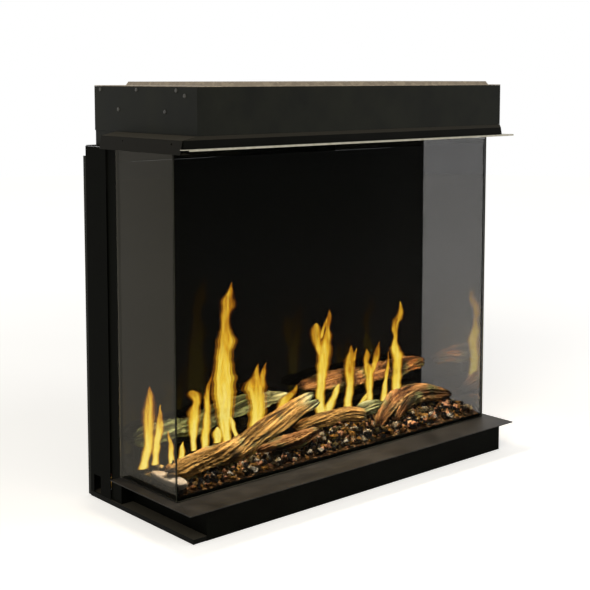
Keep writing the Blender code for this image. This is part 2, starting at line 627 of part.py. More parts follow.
def make_glass():
    d0, d1, end = GLASS_FRONT, GLASS_FRONT + PANE, POST_FRONT - GAP
    bm = bmesh.new()
    box(bm, (-HALF_W, HALF_W), (d0, d1), (GLASS_Z, FRONT_GLASS_TOP))
    add_object("front_glass", bm, CLEAR_GLASS, (0, back(d0), GLASS_Z))
    for name, side in SIDES:
        bm = bmesh.new()
        box(bm, sorted((side * HALF_W, side * (HALF_W - PANE))), (d1 + GAP, end), (GLASS_Z, SIDE_GLASS_TOP))
        add_object(name + "_glass", bm, CLEAR_GLASS, (side * HALF_W, back((d1 + end) / 2), GLASS_Z))

    # Braided tape runs under all three panes.
    bm = bmesh.new()
    tape = three_sides(HALF_W - 0.0004, HALF_W - PANE + 0.0004, (d0 + 0.0004, d1 - 0.0004), end - 0.0004)
    prism(bm, tape, (TRIM_TOP + GAP, GLASS_Z - GAP))
    add_object("glass_seal", bm, ROPE_SEAL)

    # Two cams above the front pane press on its top edge. They turn aside to free it.
    pivot_z, pivot_d, round_r, steps = 0.812, 0.0602, 0.008, 10
    reach = pivot_z - FRONT_GLASS_TOP - GAP
    outline = [(round_r * math.cos(math.pi * i / steps), round_r * math.sin(math.pi * i / steps))
               for i in range(steps + 1)]
    outline += [(-0.006, -reach * 0.8), (-0.003, -reach), (0.003, -reach), (0.006, -reach * 0.8)]
    for name, side in SIDES:
        x = side * LATCH_X
        bm = bmesh.new()
        loft(bm, [[(x + a, back(d), pivot_z + b) for a, b in outline] for d in (pivot_d - 0.003, pivot_d)])
        latch = add_object("glass_latch_" + name, bm, ZINC, (x, back(pivot_d), pivot_z))
        bm = bmesh.new()
        screw = [(0.0035, -0.0060), (0.0045, -0.0050), (0.0045, -0.0015), (0.0030, -0.0015), (0.0030, 0.0006)]
        lathe(bm, screw, (x, back(pivot_d), pivot_z), (0, 1, 0), 12)
        join_limb(latch, bm)


# Header and upper trim

def make_upper_trim():
    """Sloping skirt under the header and the flat lip above the front pane."""
    thick = 0.0015
    # The front skirt's outer face, from the header down to the lip: the x of its left end and of its
    # right end, the depth and the height. It stands out at the left and is flush at the right.
    outer = [(-HEADER_HALF, HEADER_HALF, 0.0, RAILS_TOP), (-0.4985, 0.4640, -0.0030, 0.8170),
             (-0.4990, 0.4672, -0.0035, 0.8000)]
    ring = outer + [(left, right, d + thick * 1.4, z) for left, right, d, z in reversed(outer)]
    bm = bmesh.new()
    loft(bm, [[(row[end], back(row[2]), row[3]) for row in ring] for end in (0, 1)])
    add_object("upper_skirt_front", bm, TRIM_STEEL)

    # The side skirts' sections are (x, height, depth of the front end). The left one is a ledge, an outer
    # face and a narrow return above the pane. The right one hangs almost upright.
    inner, low, rear_end = HEADER_HALF - 0.0014, 0.7886, 0.2928
    sections = {
        "left": [(inner, RAILS_TOP, 0.0026), (0.4987, 0.8170, -0.0005), (0.5050, low, 0.0002),
                 (0.4806, low, 0.0002), (0.4806, low + thick, 0.0002), (0.5034, low + thick, 0.0002),
                 (0.4974, 0.8156, 0.0002), (inner, RAILS_TOP - thick, 0.0030)],
        "right": [(inner, RAILS_TOP, 0.0026), (0.4642, 0.8170, -0.0005), (0.4674, 0.7990, -0.0005),
                  (0.4806, 0.7975, -0.0005), (0.4806, low, -0.0005), (0.4790, low, -0.0005),
                  (0.4790, 0.7962, -0.0005), (0.4659, 0.7977, -0.0005), (0.4627, 0.8165, -0.0005),
                  (inner, RAILS_TOP - thick, 0.0030)]}
    for name, side in SIDES:
        section = sections[name]
        bm = bmesh.new()
        loft(bm, [[(side * x, back(d), z) for x, z, d in section],
                  [(side * x, back(rear_end), z) for x, z, _ in section]])
        skirt = add_object("upper_skirt_" + name, bm, TRIM_STEEL)
        hole_start = (section[1][0] + section[2][0]) / 2 - 0.006
        bm = bmesh.new()
        for d, z in ((0.0345, 0.8085), (0.2088, 0.8085)):
            disc(bm, 0.0022, (side * hole_start, back(d), z), (side, 0, 0), 0.012, 10)
        if side > 0:
            # The return stops short of the front pane and of the post.
            pane_back = GLASS_FRONT + PANE
            for ends in ((-0.002, pane_back + 0.0005), (POST_FRONT - 0.0005, rear_end + 0.001)):
                box(bm, (0.455, 0.490), ends, (low - 0.001, 0.8001))
        cut(skirt, bm)

    # The lip has a hemmed front edge that stands 4 mm high, and a plate that runs back to the pane.
    out, plate, hem_z, top, behind = HALF_W + TRIM_OUT, 0.4990, 0.7957, 0.7997, GLASS_FRONT - 0.0004
    plan = [(-out, LIP_FRONT), (out, LIP_FRONT), (out, -GAP), (plate, -GAP), (plate, behind),
            (-plate, behind), (-plate, -GAP), (-out, -GAP)]
    bm = bmesh.new()
    prism(bm, plan, (top - thick, top))
    lip = add_object("upper_trim_lip", bm, TRIM_STEEL)
    bm = bmesh.new()
    box(bm, (-0.4895, out), (LIP_FRONT, LIP_FRONT + thick), (hem_z, top - thick / 2))
    join_limb(lip, bm)


def make_header():
    # The front and the two sides are one folded sheet.
    bm = bmesh.new()
    fold = three_sides(HEADER_HALF, HEADER_HALF - SHEET, (0, SHEET), HEADER_D - SEAM)
    prism(bm, fold, (HEADER_Z, HEADER_TOP))
    add_object("header_wrap", bm, BLACK_STEEL)
    bm = bmesh.new()
    box(bm, (-HEADER_HALF, HEADER_HALF), (HEADER_D - SHEET, HEADER_D), (HEADER_Z, HEADER_TOP))
    add_object("header_rear", bm, BLACK_STEEL)

    # The top is one pressed sheet: a flat rim, and a raised middle with vent slots near three edges.
    rim_z = HEADER_TOP + GAP
    levels = [((-HEADER_HALF, HEADER_HALF), (0, HEADER_D), rim_z), ((-0.386, 0.452), (0.030, 0.368), rim_z),
              ((-0.382, 0.448), (0.034, 0.364), TOP_Z - SHEET)]

    def sheet_face(lift):
        return [[(x, back(d), z + lift) for x, d in ((x0, d0), (x1, d0), (x1, d1), (x0, d1))]
                for (x0, x1), (d0, d1), z in levels]

    bm = bmesh.new()
    loft(bm, sheet_face(0)[::-1] + sheet_face(SHEET))
    plate = add_object("top_vent_plate", bm, BARE_STEEL)
    slot_l, slot_w, pitch, through = 0.018, 0.007, 0.0385, (TOP_Z - 0.006, TOP_Z + 0.002)
    bm = bmesh.new()
    for i in range(8):
        d = 0.050 + i * pitch
        for x in (-0.366, 0.432):
            box(bm, (x - slot_w / 2, x + slot_w / 2), (d, d + slot_l), through)
    for first in (-0.30, -0.068, 0.204):
        for x in (first, first + 0.054):
            box(bm, (x, x + slot_l), (0.350 - slot_w / 2, 0.350 + slot_w / 2), through)
    cut(plate, bm)


# Log set: each limb is a list of (x, y, z, radius) along its middle

LOGS = {
    "log_front_fork": (WOOD_TAN, [
        [(-0.460, -0.086, 0.117, 0.012), (-0.423, -0.082, 0.118, 0.018), (-0.372, -0.077, 0.120, 0.021),
         (-0.318, -0.070, 0.120, 0.024), (-0.267, -0.062, 0.128, 0.021), (-0.208, -0.052, 0.142, 0.017),
         (-0.140, -0.042, 0.161, 0.015), (-0.073, -0.034, 0.177, 0.013), (-0.005, -0.028, 0.193, 0.008)],
        [(-0.297, -0.072, 0.111, 0.015), (-0.253, -0.066, 0.115, 0.015), (-0.194, -0.055, 0.127, 0.015),
         (-0.128, -0.048, 0.144, 0.015), (-0.060, -0.041, 0.163, 0.014), (0.007, -0.036, 0.174, 0.009)]]),
    "log_small_split": (WOOD_RED, [
        [(-0.228, -0.099, 0.118, 0.008), (-0.194, -0.097, 0.119, 0.012), (-0.142, -0.094, 0.118, 0.016),
         (-0.094, -0.090, 0.119, 0.015), (-0.038, -0.086, 0.125, 0.009)]]),
    "log_rear_left": (WOOD_GREY, [
        [(-0.462, 0.040, 0.159, 0.016), (-0.420, 0.040, 0.161, 0.021), (-0.360, 0.039, 0.162, 0.022),
         (-0.300, 0.039, 0.162, 0.022), (-0.240, 0.039, 0.174, 0.022), (-0.170, 0.039, 0.181, 0.021),
         (-0.090, 0.040, 0.183, 0.018), (-0.022, 0.041, 0.181, 0.011)]]),
    "log_rear_right": (WOOD_RED, [
        [(0.012, 0.032, 0.199, 0.011), (0.075, 0.035, 0.198, 0.018), (0.160, 0.037, 0.193, 0.022),
         (0.240, 0.037, 0.190, 0.023), (0.320, 0.038, 0.190, 0.023), (0.390, 0.039, 0.191, 0.020),
         (0.455, 0.040, 0.188, 0.014)]]),
    "log_middle": (WOOD_TAN, [
        [(-0.050, -0.022, 0.118, 0.011), (-0.007, -0.024, 0.124, 0.015), (0.044, -0.028, 0.126, 0.018),
         (0.098, -0.034, 0.129, 0.018), (0.137, -0.039, 0.121, 0.016), (0.157, -0.042, 0.113, 0.012)]]),
    "log_right": (WOOD_RED, [
        [(0.180, -0.067, 0.092, 0.011), (0.202, -0.061, 0.109, 0.016), (0.246, -0.053, 0.131, 0.021),
         (0.305, -0.048, 0.143, 0.023), (0.363, -0.048, 0.138, 0.022), (0.412, -0.052, 0.126, 0.018),
         (0.454, -0.056, 0.118, 0.010)],
        [(0.220, -0.088, 0.102, 0.007), (0.245, -0.080, 0.117, 0.010), (0.289, -0.066, 0.132, 0.012),
         (0.327, -0.054, 0.135, 0.010)]]),
    "log_stub": (WOOD_GREY, [
        [(0.167, -0.006, 0.116, 0.013), (0.208, -0.006, 0.118, 0.017), (0.251, -0.004, 0.115, 0.014)]]),
}


def smooth_limb(points, steps=4):
    """Catmull-Rom curve through (x, y, z, radius) points."""
    rows = [Vector(point) for point in points]
    rows = [rows[0] * 2 - rows[1]] + rows + [rows[-1] * 2 - rows[-2]]
    fine = []
    for a, b, c, d in zip(rows, rows[1:], rows[2:], rows[3:]):
        for i in range(steps):
            t = i / steps
            fine.append(0.5 * (2 * b + (c - a) * t + (2 * a - 5 * b + 4 * c - d) * t * t
                               + (3 * b - a - 3 * c + d) * t ** 3))
    return fine + [rows[-2]]


def limb_mesh(points, seed):
    """A weathered branch: an uneven round section with two long grooves."""
    fine = smooth_limb(points, 3)

    def shape(angle, share):
        grooves = 0.07 * math.cos(2 * angle + 5 * share + seed)
        grooves += 0.05 * math.cos(3 * angle - 7 * share + 2 * seed)
        return 1 + grooves + 0.05 * math.sin(14 * share + seed)

    bm = bmesh.new()
    loft(bm, frame_rings([Vector(row[:3]) for row in fine], [row[3] for row in fine], 9, shape))
    return bm


def make_logs():
    for seed, (name, (finish, limbs)) in enumerate(LOGS.items()):
        log = add_object(name, limb_mesh(limbs[0], seed), finish, smooth=50)
        for limb in limbs[1:]:
            join_limb(log, limb_mesh(limb, seed + 0.5))


def room_under_logs(x, y):
    """Height that the logs leave free above this point, with room for the bed's coarse grid."""
    free = 1.0
    for _, limbs in LOGS.values():
        for limb in limbs:
            for lx, ly, lz, radius in smooth_limb(limb, 6):
                if math.hypot(x - lx, y - ly) < radius * 1.3 + 0.017:
                    free = min(free, lz - radius * 1.22)
    return free - 0.001


def make_log_shelf():
    """Steel shelf behind the burner, on a back leg, with a tab under each rear log."""
    plate, leg, depths = (SHELF_Z, SHELF_Z + 0.0015), (0.2500, 0.2515), (0.2272, 0.2600)
    bm = bmesh.new()
    box(bm, (-0.440, 0.440), depths, plate)
    shelf = add_object("rear_log_shelf", bm, FIREBOX_STEEL)
    bm = bmesh.new()
    box(bm, (-0.440, 0.440), leg, (BED_Z, plate[1] - 0.0005))
    for x in (-0.38, -0.16, 0.11, 0.33):
        tab_zs = (plate[0] + 0.0005, room_under_logs(x, back(0.2390)))
        box(bm, (x - 0.010, x + 0.010), (0.2350, 0.2430), tab_zs)
    join_limb(shelf, bm)


def make_ember_bed():
    """Bed of crushed glass in front of the burner, heaped towards the logs, with a flat stone on it."""
    x_half, depths, columns, rows = 0.4718, (0.0632, 0.1890), 44, 8
    bm = bmesh.new()
    grid = []
    for j in range(rows + 1):
        y = back(depths[0] + (depths[1] - depths[0]) * j / rows)
        line = []
        for i in range(columns + 1):
            x = -x_half + 2 * x_half * i / columns
            heap = 0.016 * min(1, j / 4)
            lumps = 0.004 * noise(Vector((x * 30, y * 30, 2.0)))
            line.append(bm.verts.new((x, y, min(BED_TOP - 0.006 + heap + lumps, room_under_logs(x, y)))))
        grid.append(line)
    for low, high in zip(grid, grid[1:]):
        for i in range(columns):
            bm.faces.new((low[i], low[i + 1], high[i + 1], high[i]))
    rim = [e for e in bm.edges if e.is_boundary]
    wall = bmesh.ops.extrude_edge_only(bm, edges=rim)["geom"]
    for vert in (item for item in wall if isinstance(item, bmesh.types.BMVert)):
        vert.co.z = BED_Z
    bmesh.ops.holes_fill(bm, edges=[e for e in bm.edges if e.is_boundary])
    bed = add_object("ember_bed", bm, EMBER)
    # The stone lies in the bed's front left corner: outline as (x, depth), and its scale at each height.
    stone = [(-0.4700, 0.066), (-0.4480, 0.066), (-0.4370, 0.090), (-0.4400, 0.128), (-0.4560, 0.150),
             (-0.4700, 0.140)]
    bm = bmesh.new()
    loft(bm, [[(-0.4700 + (x + 0.4700) * scale, back(0.105 + (d - 0.105) * scale), z) for x, d in stone]
              for scale, z in ((1.0, BED_Z + 0.002), (1.0, 0.0950), (0.88, 0.1010))])
    join_limb(bed, bm)


make_base()
make_lower_trim()
make_firebox_floor()
make_burner()
make_gas_valve()
make_igniter()
make_gas_line()
make_pilot()
make_columns()
make_flue()
make_firebox()
make_glass()
make_upper_trim()
make_header()
make_logs()
make_log_shelf()
make_ember_bed()
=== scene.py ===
# %% [markdown]
# # A three-sided gas fireplace, dressed for the camera
# The steel case, the panes and the gas parts come ready as a fixed frame. This lesson gives every one
# of them its finish, and makes what a solid model leaves plain: the weathered ceramic logs, the
# crushed glass, the flames and the screws. We begin by loading the frame.

# %% Load the frame
import json
import math
import random

import bmesh
import bpy
import numpy as np
from mathutils import Matrix, Vector
from mathutils.bvhtree import BVHTree
from mathutils.noise import noise

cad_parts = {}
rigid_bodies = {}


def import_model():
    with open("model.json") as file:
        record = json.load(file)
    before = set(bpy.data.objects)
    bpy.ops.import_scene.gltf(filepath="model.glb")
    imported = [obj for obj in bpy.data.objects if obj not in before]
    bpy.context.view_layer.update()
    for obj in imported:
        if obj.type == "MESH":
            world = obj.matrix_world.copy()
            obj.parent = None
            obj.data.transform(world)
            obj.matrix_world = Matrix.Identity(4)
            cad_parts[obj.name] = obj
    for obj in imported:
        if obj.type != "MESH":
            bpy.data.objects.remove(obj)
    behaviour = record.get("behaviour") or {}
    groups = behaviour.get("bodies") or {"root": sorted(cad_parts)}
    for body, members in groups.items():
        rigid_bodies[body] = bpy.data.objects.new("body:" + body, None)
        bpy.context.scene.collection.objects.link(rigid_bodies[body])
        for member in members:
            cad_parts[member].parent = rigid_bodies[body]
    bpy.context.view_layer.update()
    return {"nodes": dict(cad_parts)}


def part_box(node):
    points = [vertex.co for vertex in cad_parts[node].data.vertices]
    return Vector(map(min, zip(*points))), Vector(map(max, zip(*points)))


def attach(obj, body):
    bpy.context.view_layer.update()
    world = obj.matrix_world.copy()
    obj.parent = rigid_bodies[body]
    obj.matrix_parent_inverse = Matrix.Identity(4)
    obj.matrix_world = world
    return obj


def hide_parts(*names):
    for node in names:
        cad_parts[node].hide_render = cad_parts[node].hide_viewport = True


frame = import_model()

# %% [markdown]
# ## Camera
# The photograph looks at the front left corner from about the height of the header. Its vanishing
# lines give the turn, the tilt and the focal length. The picture's optical centre lies above its
# middle, which is what a lens shift does, and it keeps the case's uprights nearly upright.

# %% Camera at the photograph's place
PICTURE = 590
TURN, TILT = math.radians(41.213), math.radians(5.569)
FOCAL_PX, CENTRE_ROW = 1204.3, 195.0
camera = bpy.data.objects.new("camera", bpy.data.cameras.new("camera"))
bpy.context.collection.objects.link(camera)
camera.location = (-1.8751, -2.1025, 0.9393)
camera.rotation_euler = (math.pi / 2 - TILT, 0, -TURN)
camera.data.sensor_width = 36
camera.data.lens = FOCAL_PX * camera.data.sensor_width / PICTURE
camera.data.shift_y = (CENTRE_ROW - PICTURE / 2) / PICTURE
bpy.context.scene.camera = camera
print("lens", round(camera.data.lens, 1), "mm, shift", round(camera.data.shift_y, 3))

# %% [markdown]
# ## Helpers for finishes
# Screens store colours in sRGB, but light adds up in linear values, so one function turns a hex
# colour into linear light. Another adds a shader node with its settings and links in one line, where
# a link may name an output, or a whole node if its first output is meant. The other three start a
# material, join nodes to its main shader, and give the material to pieces of the frame.

# %% Colour and node helpers
def linear(hex_colour):
    values = [int(hex_colour[i:i + 2], 16) / 255 for i in (1, 3, 5)]
    return (*[v / 12.92 if v <= 0.04045 else ((v + 0.055) / 1.055) ** 2.4 for v in values], 1.0)


def put(tree, kind, settings=None, links=None):
    """Adds a node. Settings are its properties, the values of its sockets, or a colour ramp's stops."""
    node = tree.nodes.new("ShaderNode" + kind)
    for key, value in (settings or {}).items():
        if key == "stops":
            band = node.color_ramp.elements
            while len(band) < len(value):
                band.new(0.5)
            for element, (place, colour) in zip(band, value):
                element.position, element.color = place, linear(colour)
        elif isinstance(key, str) and hasattr(node, key):
            setattr(node, key, value)
        else:
            node.inputs[key].default_value = value
    for key, source in (links or {}).items():
        tree.links.new(getattr(source, "outputs", [source])[0], node.inputs[key])
    return node


def finish(name, **sockets):
    """Starts a material and returns it with its tree and its main shader."""
    made = bpy.data.materials.new(name)
    made.use_nodes = True
    shader = made.node_tree.nodes["Principled BSDF"]
    for key, value in sockets.items():
        shader.inputs[key.replace("_", " ")].default_value = value
    return made, made.node_tree, shader


def feed(shader, **sources):
    """Joins nodes to the sockets of the main shader."""
    for key, source in sources.items():
        shader.id_data.links.new(source.outputs[0], shader.inputs[key.replace("_", " ")])


def dress(material, *names):
    """Gives carried-over nodes their finish."""
    for name in names:
        for slot in frame["nodes"][name].material_slots:
            slot.material = material
    print(material.name, "on", len(names), "nodes")


# %% [markdown]
# ## Powder-coated steel
# The case is folded from steel sheet and powder coated. The powder is sprayed dry and melts in an
# oven, which leaves a skin with a very fine dimple, like orange peel. Black satin powder gives little
# gloss. A flat colour would look like plastic, so a noise adds faint dust and rubbed places, some 60
# to 90 mm across, and a finer one the dimple. Faces that look up can be painted a paler grey, a painted
# highlight for the light from above. One function makes each shade of the coating, because all of them
# are sprayed and baked in the same way. The darkest shades, on the base, the columns, the posts, the
# skirt and the foot rail, are painted shade for parts that lie in shade.

# %% The powder coats
MM = 0.001
PEEL, RUBBED = 1.6 * MM, 75 * MM


def powder_coat(name, shade, dusty, gloss, peel=0.25, level=0.25, painted_top_light=0.0):
    """The last argument is how much paler the faces that look up are, a painted highlight for the light from above.
    """
    coat, tree, shader = finish(name, Roughness=gloss, Specular_IOR_Level=level)
    place = put(tree, "TexCoord")
    dust = put(tree, "TexNoise", {"Scale": 1 / RUBBED, "Detail": 5.0, "Roughness": 0.6},
               {"Vector": place.outputs["Object"]})
    colour = put(tree, "ValToRGB", {"stops": [(0.35, shade), (0.7, dusty)]}, {"Fac": dust})
    upward = put(tree, "SeparateXYZ", links={"Vector": place.outputs["Normal"]}).outputs["Z"]
    # Faces that look up turn a paler grey: a painted highlight for the light from above.
    top_light_share = put(tree, "MapRange", {"From Min": 0.15, "From Max": 0.6, "To Max": painted_top_light}, {"Value": upward})
    top_lit_colour = put(tree, "MixRGB", {"Color2": linear("#6b665a")}, {"Fac": top_light_share, "Color1": colour})
    rubbed = put(tree, "MapRange", {"To Min": gloss - 0.06, "To Max": gloss + 0.08}, {"Value": dust})
    grain = put(tree, "TexNoise", {"Scale": 1 / PEEL, "Detail": 2.0}, {"Vector": place.outputs["Object"]})
    bump = put(tree, "Bump", {"Strength": peel, "Distance": 0.05 * MM}, {"Height": grain})
    feed(shader, Base_Color=top_lit_colour, Roughness=rubbed, Normal=bump)
    return coat


case_coat = powder_coat("black_satin_powder_coat_on_steel", "#10110d", "#191a14", 0.5, level=0.08)
# The deep matt coat and the skirt coat are darker copies of the black satin coat: painted shade for the base, the
# columns, the posts, the skirt and the foot rail, which lie in shade. The skirt coat also paints the faces that
# look up paler, a painted highlight.
shaded_black_coat = powder_coat("black_powder_coat_darkened_as_painted_shade", "#040402", "#080906", 0.6, level=0.02)
skirt_coat_with_painted_light = powder_coat("black_powder_coat_on_skirt_with_painted_shade_and_top_light", "#050503", "#0b0b08", 0.5, level=0.04,
                         painted_top_light=0.26)
trim_coat = powder_coat("charcoal_satin_powder_coat_on_steel", "#1b1a18", "#302e2b", 0.48, level=0.12)
stove_coat = powder_coat("heat_resistant_stove_enamel_black", "#0b0b09", "#12110e", 0.78, 0.5, level=0.05)
dress(case_coat, "header_wrap", "header_rear", "rear_cover", "top_frame")
dress(skirt_coat_with_painted_light, "upper_skirt_front", "upper_skirt_left", "upper_skirt_right", "left_foot_rail")
dress(shaded_black_coat, "base_tray", "front_access_panel", "left_column_side", "right_column_side",
      "glass_post_left", "glass_post_right", "column_top_plate")
dress(trim_coat, "lower_trim_front", "lower_trim_left", "lower_trim_right")
dress(stove_coat, "firebox_floor", "burner_tray", "firebox_back", "firebox_ceiling", "rear_log_shelf",
      "exhaust_box")

# %% [markdown]
# ## Galvanised sheet
# Parts that nobody sees in use are left as they come from the zinc bath. The zinc sets in flat
# crystals, called spangle, about 9 mm across here, and each crystal mirrors the light a little
# differently. A noise would give clouds with soft edges. A texture of cells gives one random value
# for each cell, which is what crystals need.

# %% Galvanised sheet
galvanised, tree, shader = finish("galvanised_steel_sheet_spangled", Metallic=0.9)
place = put(tree, "TexCoord").outputs["Object"]
spangle = put(tree, "TexVoronoi", {"Scale": 1 / (9 * MM)}, {"Vector": place}).outputs["Color"]
grey = put(tree, "SeparateColor", links={"Color": spangle}).outputs["Red"]
colour = put(tree, "ValToRGB", {"stops": [(0.0, "#7f7362"), (0.6, "#8f826f"), (1.0, "#a2957f")]}, {"Fac": grey})
dull = put(tree, "MapRange", {"To Min": 0.42, "To Max": 0.6}, {"Value": grey})
feed(shader, Base_Color=colour, Roughness=dull)
dress(galvanised, "top_vent_plate", "flue_collar_inner", "flue_collar_outer",
      "relief_flap_left", "relief_flap_right", "valve_bracket", "pilot_burner")

# %% [markdown]
# ## Smoked ceramic glass
# The panes are 5 mm ceramic glass. White comes out mid grey where it is seen through two of them, so
# each one lets through about a third of the light. Glass this thin hardly bends what lies behind it,
# so the pane is drawn as a see-through sheet, and not as refracting glass: each of its two faces
# lets through the square root of that third, and mirrors a little. The front pane has a coating
# against reflections and shows none, and what the left one mirrors is warm in tone. The right one
# mirrors the fire strongly, so its inner face has a thin metal coating that sends heat back, which is
# the face that looks to the left. A polished edge is looked into along the sheet, so it is nearly
# black, with a painted highlight, a paler line, along its middle.

# %% The three panes
PANE_PASSES = 0.31
FACE_HOLDS = 1 - math.sqrt(PANE_PASSES)
EDGE_HOLDS = 0.97


def smoked_glass(name, mirror, tint, axis, middle, coated):
    """A pane that is square to one axis of the frame, where the middle of its thickness is given."""
    glass, tree, shader = finish(name, Roughness=0.03, IOR=1.5, Specular_Tint=linear(tint),
                                 Specular_IOR_Level=mirror)
    place = put(tree, "TexCoord")
    smear = put(tree, "TexNoise", {"Scale": 1 / (55 * MM), "Detail": 4.0}, {"Vector": place.outputs["Object"]})
    haze = put(tree, "MapRange", {"From Min": 0.4, "From Max": 0.8, "To Min": 0.02, "To Max": 0.06},
               {"Value": smear})
    # The edge faces are those that don't look along the pane's own axis.
    facing = put(tree, "SeparateXYZ", links={"Vector": place.outputs["Normal"]}).outputs[axis]
    flat = put(tree, "Math", {"operation": "ABSOLUTE"}, {0: facing})
    edge = put(tree, "Math", {"operation": "LESS_THAN", 1: 0.5}, {0: flat})
    depth = put(tree, "SeparateXYZ", links={"Vector": place.outputs["Object"]}).outputs[axis]
    off = put(tree, "Math", {"operation": "SUBTRACT", 1: middle}, {0: depth})
    gap = put(tree, "Math", {"operation": "ABSOLUTE"}, {0: off})
    # The paler line along the middle of an edge face is a painted highlight.
    line = put(tree, "MapRange", {"From Min": 0.6 * MM, "From Max": 1.4 * MM, "To Min": 1.0, "To Max": 0.0},
               {"Value": gap})
    colour = put(tree, "MixRGB", {"Color1": linear("#060705"), "Color2": linear("#3a3a33")}, {"Fac": line})
    # The metal coating lies on the face that looks to the left.
    inner = put(tree, "Math", {"operation": "LESS_THAN", 1: -0.5}, {0: facing})
    metal = put(tree, "Math", {"operation": "MULTIPLY", 1: coated}, {0: inner})
    bright = put(tree, "MixRGB", {"Color2": linear("#cdcdc8")}, {"Fac": metal, "Color1": colour})
    holds = put(tree, "MapRange", {"To Min": FACE_HOLDS, "To Max": EDGE_HOLDS}, {"Value": edge})
    feed(shader, Roughness=haze, Metallic=metal, Base_Color=bright, Alpha=holds)
    return glass


for node, mirror, tint, axis, coated in (("front_glass", 0.01, "#ffffff", "Y", 0.0),
                                         ("left_glass", 0.42, "#f4e6bc", "X", 0.0),
                                         ("right_glass", 0.5, "#ffffff", "X", 0.97)):
    low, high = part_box(node)
    middle = (low.x + high.x) / 2 if axis == "X" else (low.y + high.y) / 2
    dress(smoked_glass("smoked_ceramic_glass_" + node, mirror, tint, axis, middle, coated), node)

# %% [markdown]
# ## Black glass liner
# A sheet of black glass stands behind the fire. It is opaque and polished, so it mirrors the flames
# as dim ghosts. Heat leaves a faint bloom on it, some 110 mm across, which the roughness follows.

# %% Black glass
liner, tree, shader = finish("polished_black_glass", Roughness=0.05, IOR=1.5, Specular_IOR_Level=0.12)
place = put(tree, "TexCoord").outputs["Object"]
bloom = put(tree, "TexNoise", {"Scale": 1 / (110 * MM), "Detail": 6.0, "Roughness": 0.65}, {"Vector": place})
colour = put(tree, "ValToRGB", {"stops": [(0.3, "#020202"), (0.8, "#050403")]}, {"Fac": bloom})
haze = put(tree, "MapRange", {"To Min": 0.03, "To Max": 0.09}, {"Value": bloom})
feed(shader, Base_Color=colour, Roughness=haze)
dress(liner, "rear_liner")

# %% [markdown]
# ## Metals and plastics of the gas train
# Brass is turned on a lathe, and the cams are steel with a thin coat of zinc. The alloy valve is die
# cast and slightly sandy. Soft aluminium tube is drawn. Knobs and buttons are moulded from phenolic
# plastic, and the electrode's insulator is glazed ceramic. The folded hem of the upper lip is brushed
# bare steel. They are small, so one recipe serves all of them: a colour that varies a little, over
# some 14 mm, and a relief that stands for the marks of the process. Such marks are too fine to show,
# so they are drawn 0.8 to 2 mm apart.

# %% Small parts
def small_part(name, shade, worn, roughness, metallic, spacing, relief):
    made, tree, shader = finish(name, Roughness=roughness, Metallic=metallic)
    place = put(tree, "TexCoord").outputs["Object"]
    stain = put(tree, "TexNoise", {"Scale": 1 / (14 * MM), "Detail": 4.0}, {"Vector": place})
    colour = put(tree, "ValToRGB", {"stops": [(0.35, shade), (0.7, worn)]}, {"Fac": stain})
    grain = put(tree, "TexNoise", {"Scale": 1 / (spacing * MM), "Detail": 1.0}, {"Vector": place})
    bump = put(tree, "Bump", {"Strength": relief, "Distance": 0.1 * MM}, {"Height": grain})
    feed(shader, Base_Color=colour, Normal=bump)
    return made


SMALL_PARTS = [
    ("turned_gas_brass", "#b08a48", "#957136", 0.32, 1.0, 0.8, 0.2, ["shutoff_valve_body"]),
    ("die_cast_zinc_alloy", "#9a9a96", "#83837e", 0.5, 0.9, 0.9, 0.5, ["gas_valve_body", "air_shutter"]),
    ("drawn_soft_aluminium_tube", "#b4b4b0", "#9c9c98", 0.38, 1.0, 1.5, 0.1,
     ["gas_supply_tube", "burner_gas_tube", "pilot_gas_tube", "burner_feed_tube"]),
    ("moulded_black_phenolic", "#171717", "#232322", 0.42, 0.0, 1.2, 0.2,
     ["gas_control_knob", "flame_height_knob", "igniter_body"]),
    ("moulded_red_phenolic", "#8e1d18", "#7a1813", 0.38, 0.0, 1.2, 0.15, ["igniter_button", "shutoff_lever"]),
    ("zinc_plated_steel", "#8d8a80", "#77746a", 0.36, 0.9, 0.8, 0.2, ["glass_latch_left", "glass_latch_right"]),
    ("brushed_bare_steel_hem", "#b4b0a2", "#96927f", 0.45, 0.6, 1.0, 0.2, ["upper_trim_lip"]),
    ("glazed_white_ceramic", "#e4e0d6", "#d2ccbe", 0.28, 0.0, 2.0, 0.1, ["spark_electrode"]),
]
for *recipe, nodes in SMALL_PARTS:
    dress(small_part(*recipe), *nodes)

# %% [markdown]
# ## Braided seal
# A flat braid of glass fibre lies under the panes, with strands of about 1 mm. Two sets of slanting
# waves cross in it. A strand is too fine to show from here, so the waves are drawn about 4 mm long.
# A wave texture repeats itself after a twentieth of a full turn in radians, so the scale is that
# over the wave's length.

# %% Braided tape
braid, tree, shader = finish("braided_glass_fibre_tape", Roughness=0.95)
place = put(tree, "TexCoord").outputs["Object"]
WAVE_TURN, WAVE_LENGTH = math.tau / 20, 3.946 * MM
waves = []
for turn in (math.pi / 4, -math.pi / 4):
    slant = put(tree, "Mapping", {"Rotation": (turn, turn, turn)}, {"Vector": place})
    waves.append(put(tree, "TexWave", {"Scale": WAVE_TURN / WAVE_LENGTH}, {"Vector": slant}).outputs["Fac"])
weave = put(tree, "Math", {"operation": "MULTIPLY"}, dict(enumerate(waves)))
colour = put(tree, "ValToRGB", {"stops": [(0.0, "#0f0e0d"), (1.0, "#2c2a26")]}, {"Fac": weave})
bump = put(tree, "Bump", {"Strength": 0.6, "Distance": 0.4 * MM}, {"Height": weave})
feed(shader, Base_Color=colour, Normal=bump)
dress(braid, "glass_seal")

